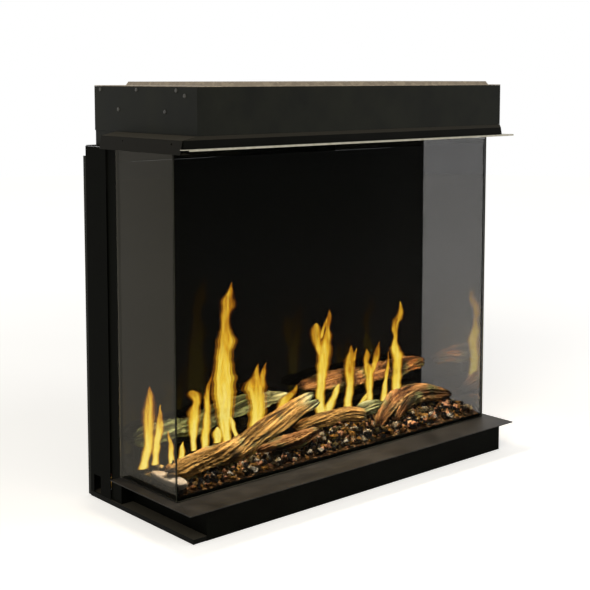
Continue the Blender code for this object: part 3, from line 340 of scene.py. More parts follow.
# %% [markdown]
# ## From points to a piece
# Each new piece is a list of points and a list of faces. One function turns them into a mesh, puts it
# into the scene and ties it to the body that it moves with, which is the fixed steel case for all of
# them. Most shapes here are rings of points that follow each other, so another function lays a skin
# over them, and a third one gathers many such skins into one piece.

# %% Piece helpers
def piece(name, points, faces, material, slot=None, smooth=None, body="case"):
    mesh = bpy.data.meshes.new(name)
    mesh.from_pydata(points, [], faces)
    made = bpy.data.objects.new(name, mesh)
    bpy.context.collection.objects.link(made)
    mesh.materials.append(material)
    if smooth is not None:
        mesh.shade_smooth()
        mesh.set_sharp_from_angle(angle=math.radians(smooth))
    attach(made, body)
    print(name, len(mesh.polygons), "faces")
    return made


def skin(rings):
    """The points and faces of a skin over rings of points, with a fan at each end."""
    count, last = len(rings[0]), len(rings) - 1
    points = [point for ring in rings for point in ring]
    faces = []
    for row in range(last):
        for i in range(count):
            j = (i + 1) % count
            low, high = row * count, (row + 1) * count
            faces.append((low + i, low + j, high + j, high + i))
    for row, turn in ((0, -1), (last, 1)):
        points.append(sum((Vector(point) for point in rings[row]), Vector()) / count)
        for i in range(count):
            faces.append((*(row * count + i, row * count + (i + 1) % count)[::turn], len(points) - 1))
    return points, faces


def gather(parts):
    """Puts several skins into one list of points and one of faces."""
    points, faces = [], []
    for some, shape in parts:
        faces += [[len(points) + i for i in face] for face in shape]
        points += some
    return points, faces


# %% [markdown]
# ## Fibre blanket over the liner
# The burnt gas leaves over the liner's top, into the exhaust box behind it. To the left and right of
# that box the gap is stuffed with a strip of ceramic fibre blanket, which soot has blackened. A cloth
# simulation would be too much for something so stiff, so a strip is a row of slightly puffed
# sections, and its tufts are some 5 mm across. A seam tape of the same blanket closes the corner
# between each post and column side.

# %% Blanket and seam tape
blanket, tree, shader = finish("sooted_ceramic_fibre_blanket", Roughness=0.95, Specular_IOR_Level=0.1)
place = put(tree, "TexCoord").outputs["Object"]
tufts = put(tree, "TexNoise", {"Scale": 1 / (5 * MM), "Detail": 4.0}, {"Vector": place})
colour = put(tree, "ValToRGB", {"stops": [(0.3, "#060605"), (0.7, "#12110e")]}, {"Fac": tufts})
bump = put(tree, "Bump", {"Strength": 0.6, "Distance": 1 * MM}, {"Height": tufts})
feed(shader, Base_Color=colour, Normal=bump)


SECTIONS, CLEAR = 40, 0.0003


def strip(ends, depths, heights, puff):
    """A bar along x: each section is a rectangle whose front puffs out a little."""
    rings = []
    for k in range(SECTIONS + 1):
        x = ends[0] + (ends[1] - ends[0]) * k / SECTIONS
        out = puff * (0.5 + 0.5 * noise(Vector((x * 40, 0, 0))))
        middle = (heights[0] + heights[1]) / 2
        rings.append([(x, depths[1], heights[0]), (x, depths[1], heights[1]), (x, depths[0], heights[1]),
                      (x, depths[0] - out, middle), (x, depths[0], heights[0])])
    return skin(rings)


liner_low, liner_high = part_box("rear_liner")
ceiling_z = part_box("firebox_ceiling")[0].z
exhaust_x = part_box("exhaust_box")[1].x
column_low, column_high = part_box("left_column_side")
strips = [strip((side * (exhaust_x - 0.004), side * liner_high.x), (liner_low.y + 0.001, liner_high.y),
                (liner_high.z + CLEAR, ceiling_z - CLEAR), 0.0008) for side in (-1, 1)]
piece("fibre_blanket_strips", *gather(strips), blanket)
tapes = [strip((side * 0.4780, side * 0.4735), (column_low.y + 0.0006, column_low.y + 0.016),
               (column_high.z - 0.09, column_high.z - 0.0006), 0.0) for side in (-1, 1)]
piece("column_seam_tapes", *gather(tapes), blanket)

# %% [markdown]
# ## End tab of the foot rail
# The rail is folded from sheet into a channel that is open below. A tab of the same sheet closes its
# front end from inside, and has the rail's coat. It is a flat bar, so the strip's function makes it.

# %% The end tab
INSIDE = 0.0018  # the rail's sheet and a little room
rail_low, rail_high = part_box("left_foot_rail")
tab = strip((rail_low.x + INSIDE, rail_high.x - INSIDE), (rail_low.y + 0.0004, rail_low.y + 0.002),
            (0.0004, rail_high.z - INSIDE), 0.0)
piece("foot_rail_end_tab", *tab, skirt_coat_with_painted_light)

# %% [markdown]
# ## The log set
# The logs are cast from ceramic fibre and cement in moulds taken from driftwood. Each limb is a list
# of (x, y, z, radius) points along its middle, in metres, the same ones that the solids use.
# Sculpting by hand would give forms that nobody can measure, so a smooth curve runs through the
# points, and rings stand square to it.

# %% The limbs
LOGS = {
    "log_front_fork": [
        [(-0.460, -0.086, 0.117, 0.012), (-0.423, -0.082, 0.118, 0.018), (-0.372, -0.077, 0.120, 0.021),
         (-0.318, -0.070, 0.120, 0.024), (-0.267, -0.062, 0.128, 0.021), (-0.208, -0.052, 0.142, 0.017),
         (-0.140, -0.042, 0.161, 0.015), (-0.073, -0.034, 0.177, 0.013), (-0.005, -0.028, 0.193, 0.008)],
        [(-0.297, -0.072, 0.111, 0.015), (-0.253, -0.066, 0.115, 0.015), (-0.194, -0.055, 0.127, 0.015),
         (-0.128, -0.048, 0.144, 0.015), (-0.060, -0.041, 0.163, 0.014), (0.007, -0.036, 0.174, 0.009)]],
    "log_small_split": [
        [(-0.228, -0.099, 0.118, 0.008), (-0.194, -0.097, 0.119, 0.012), (-0.142, -0.094, 0.118, 0.016),
         (-0.094, -0.090, 0.119, 0.015), (-0.038, -0.086, 0.125, 0.009)]],
    "log_rear_left": [
        [(-0.462, 0.040, 0.159, 0.016), (-0.420, 0.040, 0.161, 0.021), (-0.360, 0.039, 0.162, 0.022),
         (-0.300, 0.039, 0.162, 0.022), (-0.240, 0.039, 0.174, 0.022), (-0.170, 0.039, 0.181, 0.021),
         (-0.090, 0.040, 0.183, 0.018), (-0.022, 0.041, 0.181, 0.011)]],
    "log_rear_right": [
        [(0.012, 0.032, 0.199, 0.011), (0.075, 0.035, 0.198, 0.018), (0.160, 0.037, 0.193, 0.022),
         (0.240, 0.037, 0.190, 0.023), (0.320, 0.038, 0.190, 0.023), (0.390, 0.039, 0.191, 0.020),
         (0.455, 0.040, 0.188, 0.014)]],
    "log_middle": [
        [(-0.050, -0.022, 0.118, 0.011), (-0.007, -0.024, 0.124, 0.015), (0.044, -0.028, 0.126, 0.018),
         (0.098, -0.034, 0.129, 0.018), (0.137, -0.039, 0.121, 0.016), (0.157, -0.042, 0.113, 0.012)]],
    "log_right": [
        [(0.180, -0.067, 0.092, 0.011), (0.202, -0.061, 0.109, 0.016), (0.246, -0.053, 0.131, 0.021),
         (0.305, -0.048, 0.143, 0.023), (0.363, -0.048, 0.138, 0.022), (0.412, -0.052, 0.126, 0.018),
         (0.454, -0.056, 0.118, 0.010)],
        [(0.220, -0.088, 0.102, 0.007), (0.245, -0.080, 0.117, 0.010), (0.289, -0.066, 0.132, 0.012),
         (0.327, -0.054, 0.135, 0.010)]],
    "log_stub": [
        [(0.167, -0.006, 0.116, 0.013), (0.208, -0.006, 0.118, 0.017), (0.251, -0.004, 0.115, 0.014)]],
}


def along(points, step=0.003):
    """A smooth curve through (x, y, z, radius) points, with a point about every 3 mm."""
    rows = [Vector(point) for point in points]
    rows = [rows[0] * 2 - rows[1]] + rows + [rows[-1] * 2 - rows[-2]]
    fine = []
    for a, b, c, d in zip(rows, rows[1:], rows[2:], rows[3:]):
        count = max(2, round((c.xyz - b.xyz).length / step))
        for i in range(count):
            t = i / count
            fine.append(0.5 * (2 * b + (c - a) * t + (2 * a - 5 * b + 4 * c - d) * t * t
                               + (3 * b - a - 3 * c + d) * t ** 3))
    return fine + [rows[-2]]


def square_frames(points):
    """For each point of a path: the direction ahead and two directions square to it, without a twist."""
    frames = []
    side = None
    for i in range(len(points)):
        ahead = (points[min(i + 1, len(points) - 1)] - points[max(i - 1, 0)]).normalized()
        side = ahead.orthogonal() if side is None else side - ahead * side.dot(ahead)
        side = side.normalized()
        frames.append((ahead, side, ahead.cross(side)))
    return frames


print("limbs:", sum(len(limbs) for limbs in LOGS.values()))

# %% [markdown]
# ## Carving the wood
# Weathering opens long grooves along the grain, so the radius of each ring follows noises that are
# stretched along the limb. A groove is deep and narrow and the ridge between two grooves is broad, so
# a noise is folded with an absolute value, which makes sharp valleys. The grain twists slowly round
# the limb. Split wood has flat sides, and a broken end narrows and is jagged.

# %% Carve a limb
RING = 60
END_RINGS = 5


def carve(limb, seed, square, groove=0.34, twist=5.0):
    """The points and faces of a weathered limb, round (square 0) or split with flat sides (1)."""
    fine = along(limb)
    path = [row.xyz for row in fine]
    rings = []
    travelled = 0.0
    for i, (centre, (ahead, side, up)) in enumerate(zip(path, square_frames(path))):
        if i:
            travelled += (centre - path[i - 1]).length
        broken = max(0.0, 1 - min(i, len(path) - 1 - i) / END_RINGS)
        round_off = 1 - 0.45 * broken ** 2
        ring = []
        for k in range(RING):
            turn = math.tau * k / RING
            angle = turn + twist * travelled
            across = Vector((math.cos(angle), math.sin(angle), 0))
            # Broad swells, folded grooves and fine cracks, each one slower along the limb than round it.
            broad = noise(across * 1.2 + Vector((seed, 0, travelled * 13)))
            fold = abs(noise(across * 2.3 + Vector((0, seed * 3.1, travelled * 8))))
            crack = abs(noise(across * 6.5 + Vector((seed * 1.7, 4, travelled * 18))))
            swell = 1 + 0.24 * broad + groove * (min(fold * 2.4, 1) - 0.72) + 0.14 * (min(crack * 3.2, 1) - 0.8)
            flat = (math.cos(angle) ** 4 + math.sin(angle) ** 4) ** -0.25
            swell *= 1 + square * (flat - 1.08)
            jag = 0.012 * noise(across * 4 + Vector((seed, 9, 0))) * broken
            out = side * math.cos(turn) + up * math.sin(turn)
            ring.append(centre + out * fine[i][3] * swell * round_off + ahead * jag)
        rings.append(ring)
    return skin(rings)


# %% [markdown]
# ## One skin for each log, with its grain kept in it
# A forked log is two limbs that overlap, and a boolean makes one closed skin of them. Paint and fine
# grain should run with the limb wherever it bends, so the mesh keeps, at each point, the grain's own
# coordinates: two across the limb and the distance along it. It also keeps how high the wood stands
# there, and how near it is to a place that is charred or bleached.

# %% Join the limbs and mark the grain
def unite(first, others):
    """Joins overlapping limbs into one closed skin."""
    for other in others:
        modifier = first.modifiers.new("Join", "BOOLEAN")
        modifier.operation, modifier.solver, modifier.object = "UNION", "EXACT", other
    bpy.context.view_layer.update()
    whole = bpy.data.meshes.new_from_object(first.evaluated_get(bpy.context.evaluated_depsgraph_get()))
    first.modifiers.clear()
    first.data = whole
    for other in others:
        bpy.data.objects.remove(other)


def mark(mesh, name, values, kind="FLOAT", field="value"):
    """Keeps one value, or one vector, for each point of a mesh."""
    mesh.attributes.new(name, kind, "POINT").data.foreach_set(field, np.asarray(values, np.float32).ravel())


def near_spots(places, spots):
    """How near each place is to some (x, y, z, reach) spots, from 0 to 1."""
    near = np.zeros(len(places))
    for x, y, z, reach in spots:
        gap = np.sqrt(((places - np.array([x, y, z])) ** 2).sum(1))
        near = np.maximum(near, np.clip(1.6 - 1.6 * gap / reach, 0, 1))
    return near


def mark_grain(mesh, limbs, charred, bleached):
    lines, radii = [], []
    for number, limb in enumerate(limbs):
        fine = along(limb)
        path = [row.xyz for row in fine]
        travelled = np.concatenate([[0], np.cumsum([(b - a).length for a, b in zip(path, path[1:])])])
        for point, (ahead, side, up), gone in zip(path, square_frames(path), travelled):
            lines.append((*point, *side, *up, gone + number * 0.7))
        radii += [row[3] for row in fine]
    table = np.array(lines)
    places = np.array([vert.co for vert in mesh.vertices])
    nearest = np.array([np.argmin(((table[:, :3] - place) ** 2).sum(1)) for place in places])
    found = table[nearest]
    offset = places - found[:, :3]
    grain = np.stack([(offset * found[:, 3:6]).sum(1), (offset * found[:, 6:9]).sum(1), found[:, 9]], 1)
    height = np.sqrt((grain[:, :2] ** 2).sum(1)) / np.array(radii)[nearest]
    mark(mesh, "grain", grain, "FLOAT_VECTOR", "vector")
    # How high the wood stands, which the paint turns into painted shade in the grooves and a painted highlight on
    # the ridges.
    mark(mesh, "ridge", np.clip((height - 0.72) / 0.42, 0, 1))
    mark(mesh, "charred", near_spots(places, charred))
    mark(mesh, "bleached", near_spots(places, bleached))


# %% [markdown]
# ## Painting the ceramic wood
# The caster's painter lays a dark wash into the grooves, drags a lighter colour over the ridges and
# mottles it with moss green or grey. Three noises do this, all stretched along the grain: a fine one
# with lines about 3.4 mm apart, a middle one for streaks, and a broad one, 40 to 60 mm across, for
# the mottling. The kept height adds painted shade, darkening the grooves, and a painted highlight,
# lightening the ridges. Sunned ends are paler, and soot covers the places that the flames touch.
# Ceramic paint is matt.

# %% Painted ceramic wood
def painted_wood(name, wash, body, ridge, moss, moss_from):
    wood, tree, shader = finish(name, Roughness=0.86, Specular_IOR_Level=0.2)
    grain = put(tree, "Attribute", {"attribute_name": "grain"}).outputs["Vector"]
    height_for_painted_shade, charred, bleached = [put(tree, "Attribute", {"attribute_name": kept}).outputs["Fac"]
                                 for kept in ("ridge", "charred", "bleached")]
    noises = []
    for wide, long, settings in ((3.4, 38, {"Detail": 4.0, "Roughness": 0.6, "Distortion": 1.0}),
                                 (9, 120, {"Detail": 2.0}), (40, 60, {"Detail": 4.0})):
        drawn = put(tree, "Mapping", {"Scale": (1 / (wide * MM), 1 / (wide * MM), 1 / (long * MM))},
                    {"Vector": grain})
        noises.append(put(tree, "TexNoise", {"Scale": 1.0, **settings}, {"Vector": drawn}))
    fine, streak, mottle = noises
    half = put(tree, "Math", {"operation": "MULTIPLY", 1: 0.34}, {0: streak})
    most = put(tree, "Math", {"operation": "MULTIPLY_ADD", 1: 0.46}, {0: fine, 2: half})
    # The kept height darkens the grooves and lightens the ridges: painted shade and painted highlight.
    both = put(tree, "Math", {"operation": "MULTIPLY_ADD", 1: 0.26}, {0: height_for_painted_shade, 2: most})
    painted, mossy, pale = [put(tree, "ValToRGB", {"stops": stops}, {"Fac": both}) for stops in (
        [(0.36, wash), (0.50, body), (0.68, ridge)], [(0.38, wash), (0.53, moss[0]), (0.67, moss[1])],
        [(0.36, wash), (0.50, "#5f6446"), (0.66, "#a9b08a")])]
    share = put(tree, "MapRange", {"From Min": moss_from, "From Max": moss_from + 0.1}, {"Value": mottle})
    mixed = put(tree, "MixRGB", links={"Fac": share, "Color1": painted, "Color2": mossy})
    sunned = put(tree, "MixRGB", links={"Fac": bleached, "Color1": mixed, "Color2": pale})
    soot = put(tree, "Math", {"operation": "MULTIPLY", 1: 0.93}, {0: charred})
    sooty = put(tree, "MixRGB", {"Color2": linear("#0b0805")}, {"Fac": soot, "Color1": sunned})
    bump = put(tree, "Bump", {"Strength": 0.7, "Distance": 1.2 * MM}, {"Height": both})
    feed(shader, Base_Color=sooty, Normal=bump)
    return wood


tan_wood = painted_wood("painted_ceramic_driftwood_tan", "#20150a", "#6e542a", "#b48e52",
                        ("#4c452a", "#837c50"), 0.52)
grey_wood = painted_wood("painted_ceramic_driftwood_grey_green", "#14130c", "#3c4128", "#75805a",
                         ("#4e4226", "#766640"), 0.56)
red_wood = painted_wood("painted_ceramic_driftwood_red_brown", "#1c1008", "#5e3e20", "#967044",
                        ("#3a3a22", "#686844"), 0.48)

# %% [markdown]
# ## The seven logs
# Each log has one of the three paints, a share from round to split, and lists of charred and
# bleached (x, y, z, reach) spots, read off the photograph. The carved skin replaces the frame's plain
# one, and a log whose limbs cross is joined before its grain is marked.

# %% Carve, join and paint the logs
LOG_FINISH = {
    "log_front_fork": (tan_wood, "log_tan", 0.5, [(-0.288, -0.085, 0.115, 0.030)],
                       [(0.005, -0.035, 0.186, 0.060)]),
    "log_small_split": (red_wood, "log_brown", 0.9, [], []),
    "log_rear_left": (grey_wood, "log_grey", 0.4, [(-0.23, 0.02, 0.17, 0.05)], [(-0.075, 0.03, 0.185, 0.075)]),
    "log_rear_right": (red_wood, "log_brown", 0.6, [(0.16, 0.02, 0.19, 0.05), (0.33, 0.02, 0.19, 0.05)], []),
    "log_middle": (tan_wood, "log_tan", 0.7, [], [(0.158, -0.042, 0.113, 0.018)]),
    "log_right": (red_wood, "log_brown", 1.0, [(0.27, -0.075, 0.105, 0.030), (0.455, -0.06, 0.115, 0.05)], []),
    "log_stub": (grey_wood, "log_grey", 0.5, [], [(0.20, -0.01, 0.13, 0.03)]),
}
for number, (node, limbs) in enumerate(LOGS.items()):
    material, slot_name, square, charred, bleached = LOG_FINISH[node]
    parts = []
    for part, limb in enumerate(limbs):
        name = node.replace("log_", "driftwood_") + ("_limb%d" % part if part else "")
        parts.append(piece(name, *carve(limb, number * 2.3 + part, square), material, slot_name, 60))
    if len(parts) > 1:
        unite(parts[0], parts[1:])
    mark_grain(parts[0].data, limbs, charred, bleached)
    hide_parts(node)
print("logs:", len(LOGS))

# %% [markdown]
# ## Crushed glass
# The bed is a heap of crushed tempered glass: bronze, black and clear lumps with smooth broken faces,
# some of them silvered. Real glass would need many light paths to look right in a heap, and shows
# hardly any depth at this size, so a lump is drawn as a glossy solid in one of these colours, with
# the ripples of a broken face, some 4 mm apart. Each lump draws a value, and a ramp turns it into its
# colour. The solid bed below is dressed as glass fines and ash, 6 mm across, in the same colours, so
# that no gap between the lumps looks empty.

# %% Glass and fines
crushed, tree, shader = finish("crushed_tempered_glass_bronze_and_black", Roughness=0.06, IOR=1.5)
kind = put(tree, "Attribute", {"attribute_name": "kind"}).outputs["Fac"]
colour = put(tree, "ValToRGB", {"stops": [
    (0.0, "#050403"), (0.44, "#120d08"), (0.46, "#32210f"), (0.62, "#86622e"), (0.64, "#14100a"),
    (0.74, "#4e452c"), (0.76, "#5c3c26"), (0.84, "#b88868"), (0.86, "#d4c090"), (1.0, "#fff8e6")]}, {"Fac": kind})
silvered = put(tree, "Math", {"operation": "GREATER_THAN", 1: 0.85}, {0: kind})
metal = put(tree, "Math", {"operation": "MULTIPLY", 1: 0.75}, {0: silvered})
place = put(tree, "TexCoord").outputs["Object"]
ripple = put(tree, "TexNoise", {"Scale": 1 / (4 * MM), "Detail": 2.0}, {"Vector": place})
bump = put(tree, "Bump", {"Strength": 0.35, "Distance": 0.8 * MM}, {"Height": ripple})
feed(shader, Base_Color=colour, Metallic=metal, Normal=bump)

fines, tree, shader = finish("crushed_glass_fines_and_ash", Roughness=0.35)
place = put(tree, "TexCoord").outputs["Object"]
grit = put(tree, "TexVoronoi", {"Scale": 1 / (6 * MM)}, {"Vector": place})
shade = put(tree, "SeparateColor", links={"Color": grit.outputs["Color"]}).outputs["Green"]
colour = put(tree, "ValToRGB", {"stops": [(0.0, "#0a0806"), (0.5, "#1c130b"), (0.8, "#4a321c"), (1.0, "#8a6c46")]},
             {"Fac": shade})
bump = put(tree, "Bump", {"Strength": 0.8, "Distance": 2 * MM}, {"Height": grit})
feed(shader, Base_Color=colour, Normal=bump)
dress(fines, "ember_bed")

# %% [markdown]
# ## The heap
# A lump is 12 to 24 mm long. It is the hull of a few random points, which gives flat faces and sharp
# edges. Glass is heavy and the lumps lie flat on each other, so each one sits on the bed's own
# surface, partly sunk into it, which a ray from above finds. Dropping them in a physics simulation
# would take minutes and give nearly the same heap. A lump that would touch a log's surface, or lie in
# the corner where the stone is, is left out.

# %% Heap of lumps
LUMPS_TRIED = 2500
BED_TOP = 0.106
BED_FRONT, BED_REAR, BED_HALF = -0.1375, 0.030, 0.462


def lump(rng, centre, size):
    """The corners and faces of one lump: the hull of ten random points on a flattened ball."""
    axis = Vector((rng.gauss(0, 1), rng.gauss(0, 1), 1)).normalized()
    turn = Matrix.Rotation(rng.uniform(0, math.tau), 3, axis)
    small = bmesh.new()
    for _ in range(10):
        spot = Vector((rng.gauss(0, 1), rng.gauss(0, 1), rng.gauss(0, 1))).normalized()
        small.verts.new(centre + turn @ Vector((spot.x, spot.y * 0.85, spot.z * 0.62)) * size / 2)
    hull = bmesh.ops.convex_hull(small, input=small.verts)
    inside = [item for item in hull["geom_interior"] if isinstance(item, bmesh.types.BMVert)]
    bmesh.ops.delete(small, geom=inside, context="VERTS")
    small.verts.index_update()
    found = [vert.co.copy() for vert in small.verts], [[v.index for v in face.verts] for face in small.faces]
    small.free()
    return found


def tree_of(pieces):
    """All faces of some pieces, ready to be asked for the nearest one or the first one below."""
    verts, faces = [], []
    for one in pieces:
        start = len(verts)
        verts += [one.matrix_world @ vert.co for vert in one.data.vertices]
        faces += [[start + i for i in face.vertices] for face in one.data.polygons]
    return BVHTree.FromPolygons(verts, faces)


def on_stone(x, y):
    return x < -0.428 and y < -0.026


rng = random.Random(11)
ground = tree_of(frame["nodes"][name] for name in ("ember_bed", "burner_tray"))
log_tree = tree_of(made for made in bpy.data.objects if made.name.startswith("driftwood_"))
lumps = []
for _ in range(LUMPS_TRIED):
    size = rng.uniform(0.012, 0.024)
    x, y = rng.uniform(-BED_HALF, BED_HALF), rng.uniform(BED_FRONT + 0.52 * size, BED_REAR)
    below = ground.ray_cast(Vector((x, y, 0.4)), Vector((0, 0, -1)))[0]
    if below is None or below.z > BED_TOP:
        continue
    centre = below + Vector((0, 0, size * rng.uniform(0.05, 0.34)))
    if log_tree.find_nearest(centre)[3] > size * 0.5 and not on_stone(x, y):
        lumps.append(lump(rng, centre, size))
glass = piece("crushed_glass_lumps", *gather(lumps), crushed, "embers")
mark(glass.data, "kind", [value for some, _ in lumps for value in [rng.random()] * len(some)])
print("lumps:", len(lumps))

# %% [markdown]
# ## The flat stone
# A pale slab of stone lies on the glass in the front left corner. It was split from a river cobble,
# so its top is nearly flat and its edge is worn round. Rings of points follow its outline: they start
# small under the glass, widen to the worn edge and narrow again on top, and a noise keeps the top
# from being a true plane. The finish has the fine speckle of granite, about 2 mm.

# %% Flat stone
granite, tree, shader = finish("split_pale_granite", Roughness=0.75)
place = put(tree, "TexCoord").outputs["Object"]
speck = put(tree, "TexNoise", {"Scale": 1 / (2 * MM), "Detail": 4.0, "Roughness": 0.7}, {"Vector": place})
colour = put(tree, "ValToRGB", {"stops": [(0.3, "#7d7464"), (0.5, "#a3998a"), (0.7, "#bdb4a4")]}, {"Fac": speck})
bump = put(tree, "Bump", {"Strength": 0.5, "Distance": 0.5 * MM}, {"Height": speck})
feed(shader, Base_Color=colour, Normal=bump)

STONE = [(-0.4700, -0.1332), (-0.4480, -0.1332), (-0.4380, -0.1092), (-0.4400, -0.0600), (-0.4500, -0.0300),
         (-0.4700, -0.0320)]
STONE_RINGS = [(0.60, 0.0885), (0.92, 0.0900), (1.10, 0.0960), (1.14, 0.1010), (1.12, 0.1045),
               (1.06, 0.1060), (0.70, 0.1068), (0.35, 0.1070)]
corners = [Vector(corner) for corner in STONE]
middle = sum(corners, Vector((0, 0))) / len(corners)
outline = []
for a, b, c in zip(corners[-1:] + corners, corners, corners[1:] + corners[:1]):
    for t in (0.1, 0.3, 0.5, 0.7, 0.9):
        outline.append((a + b) / 2 * (1 - t) ** 2 + b * 2 * t * (1 - t) + (b + c) / 2 * t ** 2)
rings = []
for share, z in STONE_RINGS:
    ring = []
    for corner in outline:
        x, y = middle + (corner - middle) * share
        ring.append((max(x, -0.4735), max(y, -0.1372), z + 0.0012 * noise(Vector((x, y, 0)) * 60)))
    rings.append(ring)
piece("flat_stone", *skin(rings), granite, "embers", 50)

# %% [markdown]
# ## The flames
# A gas flame over glass burns yellow, because soot glows in it. Each tongue stands over a port of
# the burner, swells where the gas burns and ends in a point. It is a thin sheet of glowing gas, so
# its section is an oval, a little over half as deep as it is wide. A flame here is the depth at which
# it burns and its tongues, each one a list of (x, height, half width) rows. Rows were read off the
# photograph, because a fluid simulation would give other flames than the ones it shows. A noise
# makes their edges ragged.

# %% Flame tongues
FLAMES = {
    "far_left": (0.012, [
        [(-0.456, 0.1003, 0.0103), (-0.4431, 0.148, 0.0112), (-0.4418, 0.1802, 0.012), (-0.4412, 0.2189, 0.0158),
         (-0.4398, 0.2444, 0.013), (-0.4386, 0.2635, 0.0084), (-0.4377, 0.2779, 0.001)],
        [(-0.4275, 0.1042, 0.0084), (-0.4231, 0.1439, 0.0084), (-0.413, 0.1752, 0.0102),
         (-0.4127, 0.2069, 0.0065), (-0.4106, 0.2325, 0.001)]]),
    "left_low": (0.010, [
        [(-0.3848, 0.0967, 0.0066), (-0.3863, 0.1363, 0.0066), (-0.3937, 0.1714, 0.0018)],
        [(-0.3584, 0.0972, 0.0097), (-0.3562, 0.1233, 0.0065), (-0.3519, 0.1392, 0.001)]]),
    "left_curl": (0.012, [
        [(-0.3234, 0.1133, 0.0065), (-0.3225, 0.1573, 0.0105), (-0.3227, 0.1899, 0.0144),
         (-0.3198, 0.2091, 0.0144), (-0.3122, 0.2214, 0.011), (-0.3208, 0.2395, 0.0157),
         (-0.3269, 0.2489, 0.0059)],
        [(-0.2915, 0.1102, 0.0079), (-0.2909, 0.1511, 0.0098), (-0.2856, 0.1829, 0.0087),
         (-0.2836, 0.2162, 0.0092), (-0.282, 0.2434, 0.0079), (-0.2713, 0.2735, 0.0018)]]),
    "tall": (0.012, [
        [(-0.2308, 0.1103, 0.0098), (-0.2336, 0.1483, 0.0150), (-0.2335, 0.1902, 0.0226), (-0.2374, 0.2248, 0.0264),
         (-0.2375, 0.2587, 0.0285), (-0.2369, 0.2754, 0.0262), (-0.237, 0.3024, 0.0224),
         (-0.2368, 0.323, 0.0206), (-0.2293, 0.3419, 0.0254), (-0.2303, 0.3554, 0.0224),
         (-0.2324, 0.3692, 0.0146), (-0.2331, 0.3929, 0.0117), (-0.2314, 0.4093, 0.0139),
         (-0.225, 0.4252, 0.0198), (-0.2236, 0.4419, 0.0183), (-0.217, 0.4578, 0.0089),
         (-0.2127, 0.479, 0.0011)],
        [(-0.2571, 0.1183, 0.0108), (-0.2553, 0.1418, 0.0113), (-0.2559, 0.1535, 0.0013)],
        [(-0.2035, 0.1169, 0.0047), (-0.2128, 0.1521, 0.0067), (-0.2192, 0.1697, 0.0047)]]),
    "wide": (0.012, [
        [(-0.1413, 0.1183, 0.019), (-0.1411, 0.1732, 0.0212), (-0.1421, 0.2011, 0.024),
         (-0.1463, 0.2262, 0.0279), (-0.1443, 0.2395, 0.0240), (-0.1400, 0.2500, 0.0110)],
        [(-0.1446, 0.2284, 0.0177), (-0.143, 0.257, 0.0109), (-0.1352, 0.2795, 0.0011)],
        [(-0.1293, 0.2258, 0.0126), (-0.1223, 0.256, 0.0079), (-0.1129, 0.2781, 0.0011)]]),
    "leaning": (0.006, [
        [(-0.0838, 0.1446, 0.0098), (-0.0618, 0.181, 0.0153), (-0.0416, 0.1936, 0.0133),
         (-0.025, 0.2046, 0.0053), (-0.022, 0.2133, 0.001)]]),
    "middle": (0.010, [
        [(0.061, 0.1216, 0.0143), (0.0584, 0.1569, 0.0122), (0.0592, 0.1806, 0.0129), (0.0614, 0.2063, 0.0137),
         (0.0645, 0.2295, 0.015), (0.0659, 0.2506, 0.0177), (0.0698, 0.2739, 0.0197),
         (0.0742, 0.2965, 0.0167), (0.0815, 0.3191, 0.0109), (0.0823, 0.3331, 0.0076),
         (0.0834, 0.3497, 0.0086), (0.0856, 0.3657, 0.0066), (0.0861, 0.3787, 0.001)],
        [(0.0578, 0.2687, 0.0058), (0.0466, 0.2985, 0.0129), (0.042, 0.3248, 0.016), (0.0416, 0.3419, 0.012),
         (0.0432, 0.3503, 0.0044)],
        [(0.056, 0.3126, 0.0064), (0.0694, 0.3405, 0.005), (0.0804, 0.3615, 0.0043)],
        [(0.0729, 0.1207, 0.0169), (0.0931, 0.1459, 0.0124), (0.106, 0.1629, 0.0097),
         (0.1114, 0.1788, 0.0093), (0.1171, 0.1896, 0.0012)]]),
    "right_of_middle": (0.010, [
        [(0.1501, 0.1208, 0.0111), (0.1515, 0.1549, 0.0112), (0.1546, 0.1784, 0.0114),
         (0.1534, 0.2032, 0.0134), (0.1559, 0.2268, 0.0165), (0.1587, 0.2455, 0.0152),
         (0.1622, 0.2611, 0.0110), (0.1605, 0.279, 0.0012)],
        [(0.165, 0.2411, 0.0083), (0.172, 0.2550, 0.0063), (0.1806, 0.27, 0.0012)]]),
    "forked": (0.012, [
        [(0.2275, 0.1289, 0.0092), (0.2249, 0.1664, 0.0099), (0.2246, 0.1914, 0.0127),
         (0.2230, 0.2106, 0.0140), (0.2151, 0.2295, 0.0092), (0.2174, 0.2463, 0.0097),
         (0.2155, 0.2634, 0.0012)],
        [(0.2300, 0.1900, 0.0082), (0.2364, 0.2050, 0.0095), (0.243, 0.2177, 0.0085), (0.2497, 0.2362, 0.0113),
         (0.253, 0.2555, 0.0085), (0.258, 0.2743, 0.0012)],
        [(0.19, 0.116, 0.0059), (0.2118, 0.1384, 0.0081), (0.2256, 0.1516, 0.0012)]]),
    "thin": (0.010, [
        [(0.2774, 0.1204, 0.0123), (0.28, 0.1447, 0.0086), (0.2848, 0.1686, 0.0059), (0.2898, 0.1928, 0.0057),
         (0.291, 0.2176, 0.0042), (0.2904, 0.245, 0.0012)]]),
    "right_tall": (0.012, [
        [(0.3256, 0.1232, 0.0144), (0.3226, 0.1623, 0.0138), (0.3241, 0.1872, 0.0138), (0.3281, 0.2117, 0.0145),
         (0.3281, 0.2293, 0.0159), (0.3196, 0.2455, 0.0166), (0.317, 0.2607, 0.0101),
         (0.3194, 0.2802, 0.0065), (0.3147, 0.3009, 0.0101), (0.3168, 0.3131, 0.0098),
         (0.3258, 0.3243, 0.0137), (0.3347, 0.3406, 0.0094), (0.3371, 0.3577, 0.0042),
         (0.336, 0.3677, 0.0011)]]),
}
FLAME_DEPTH = 0.6
FLAME_RING = 14


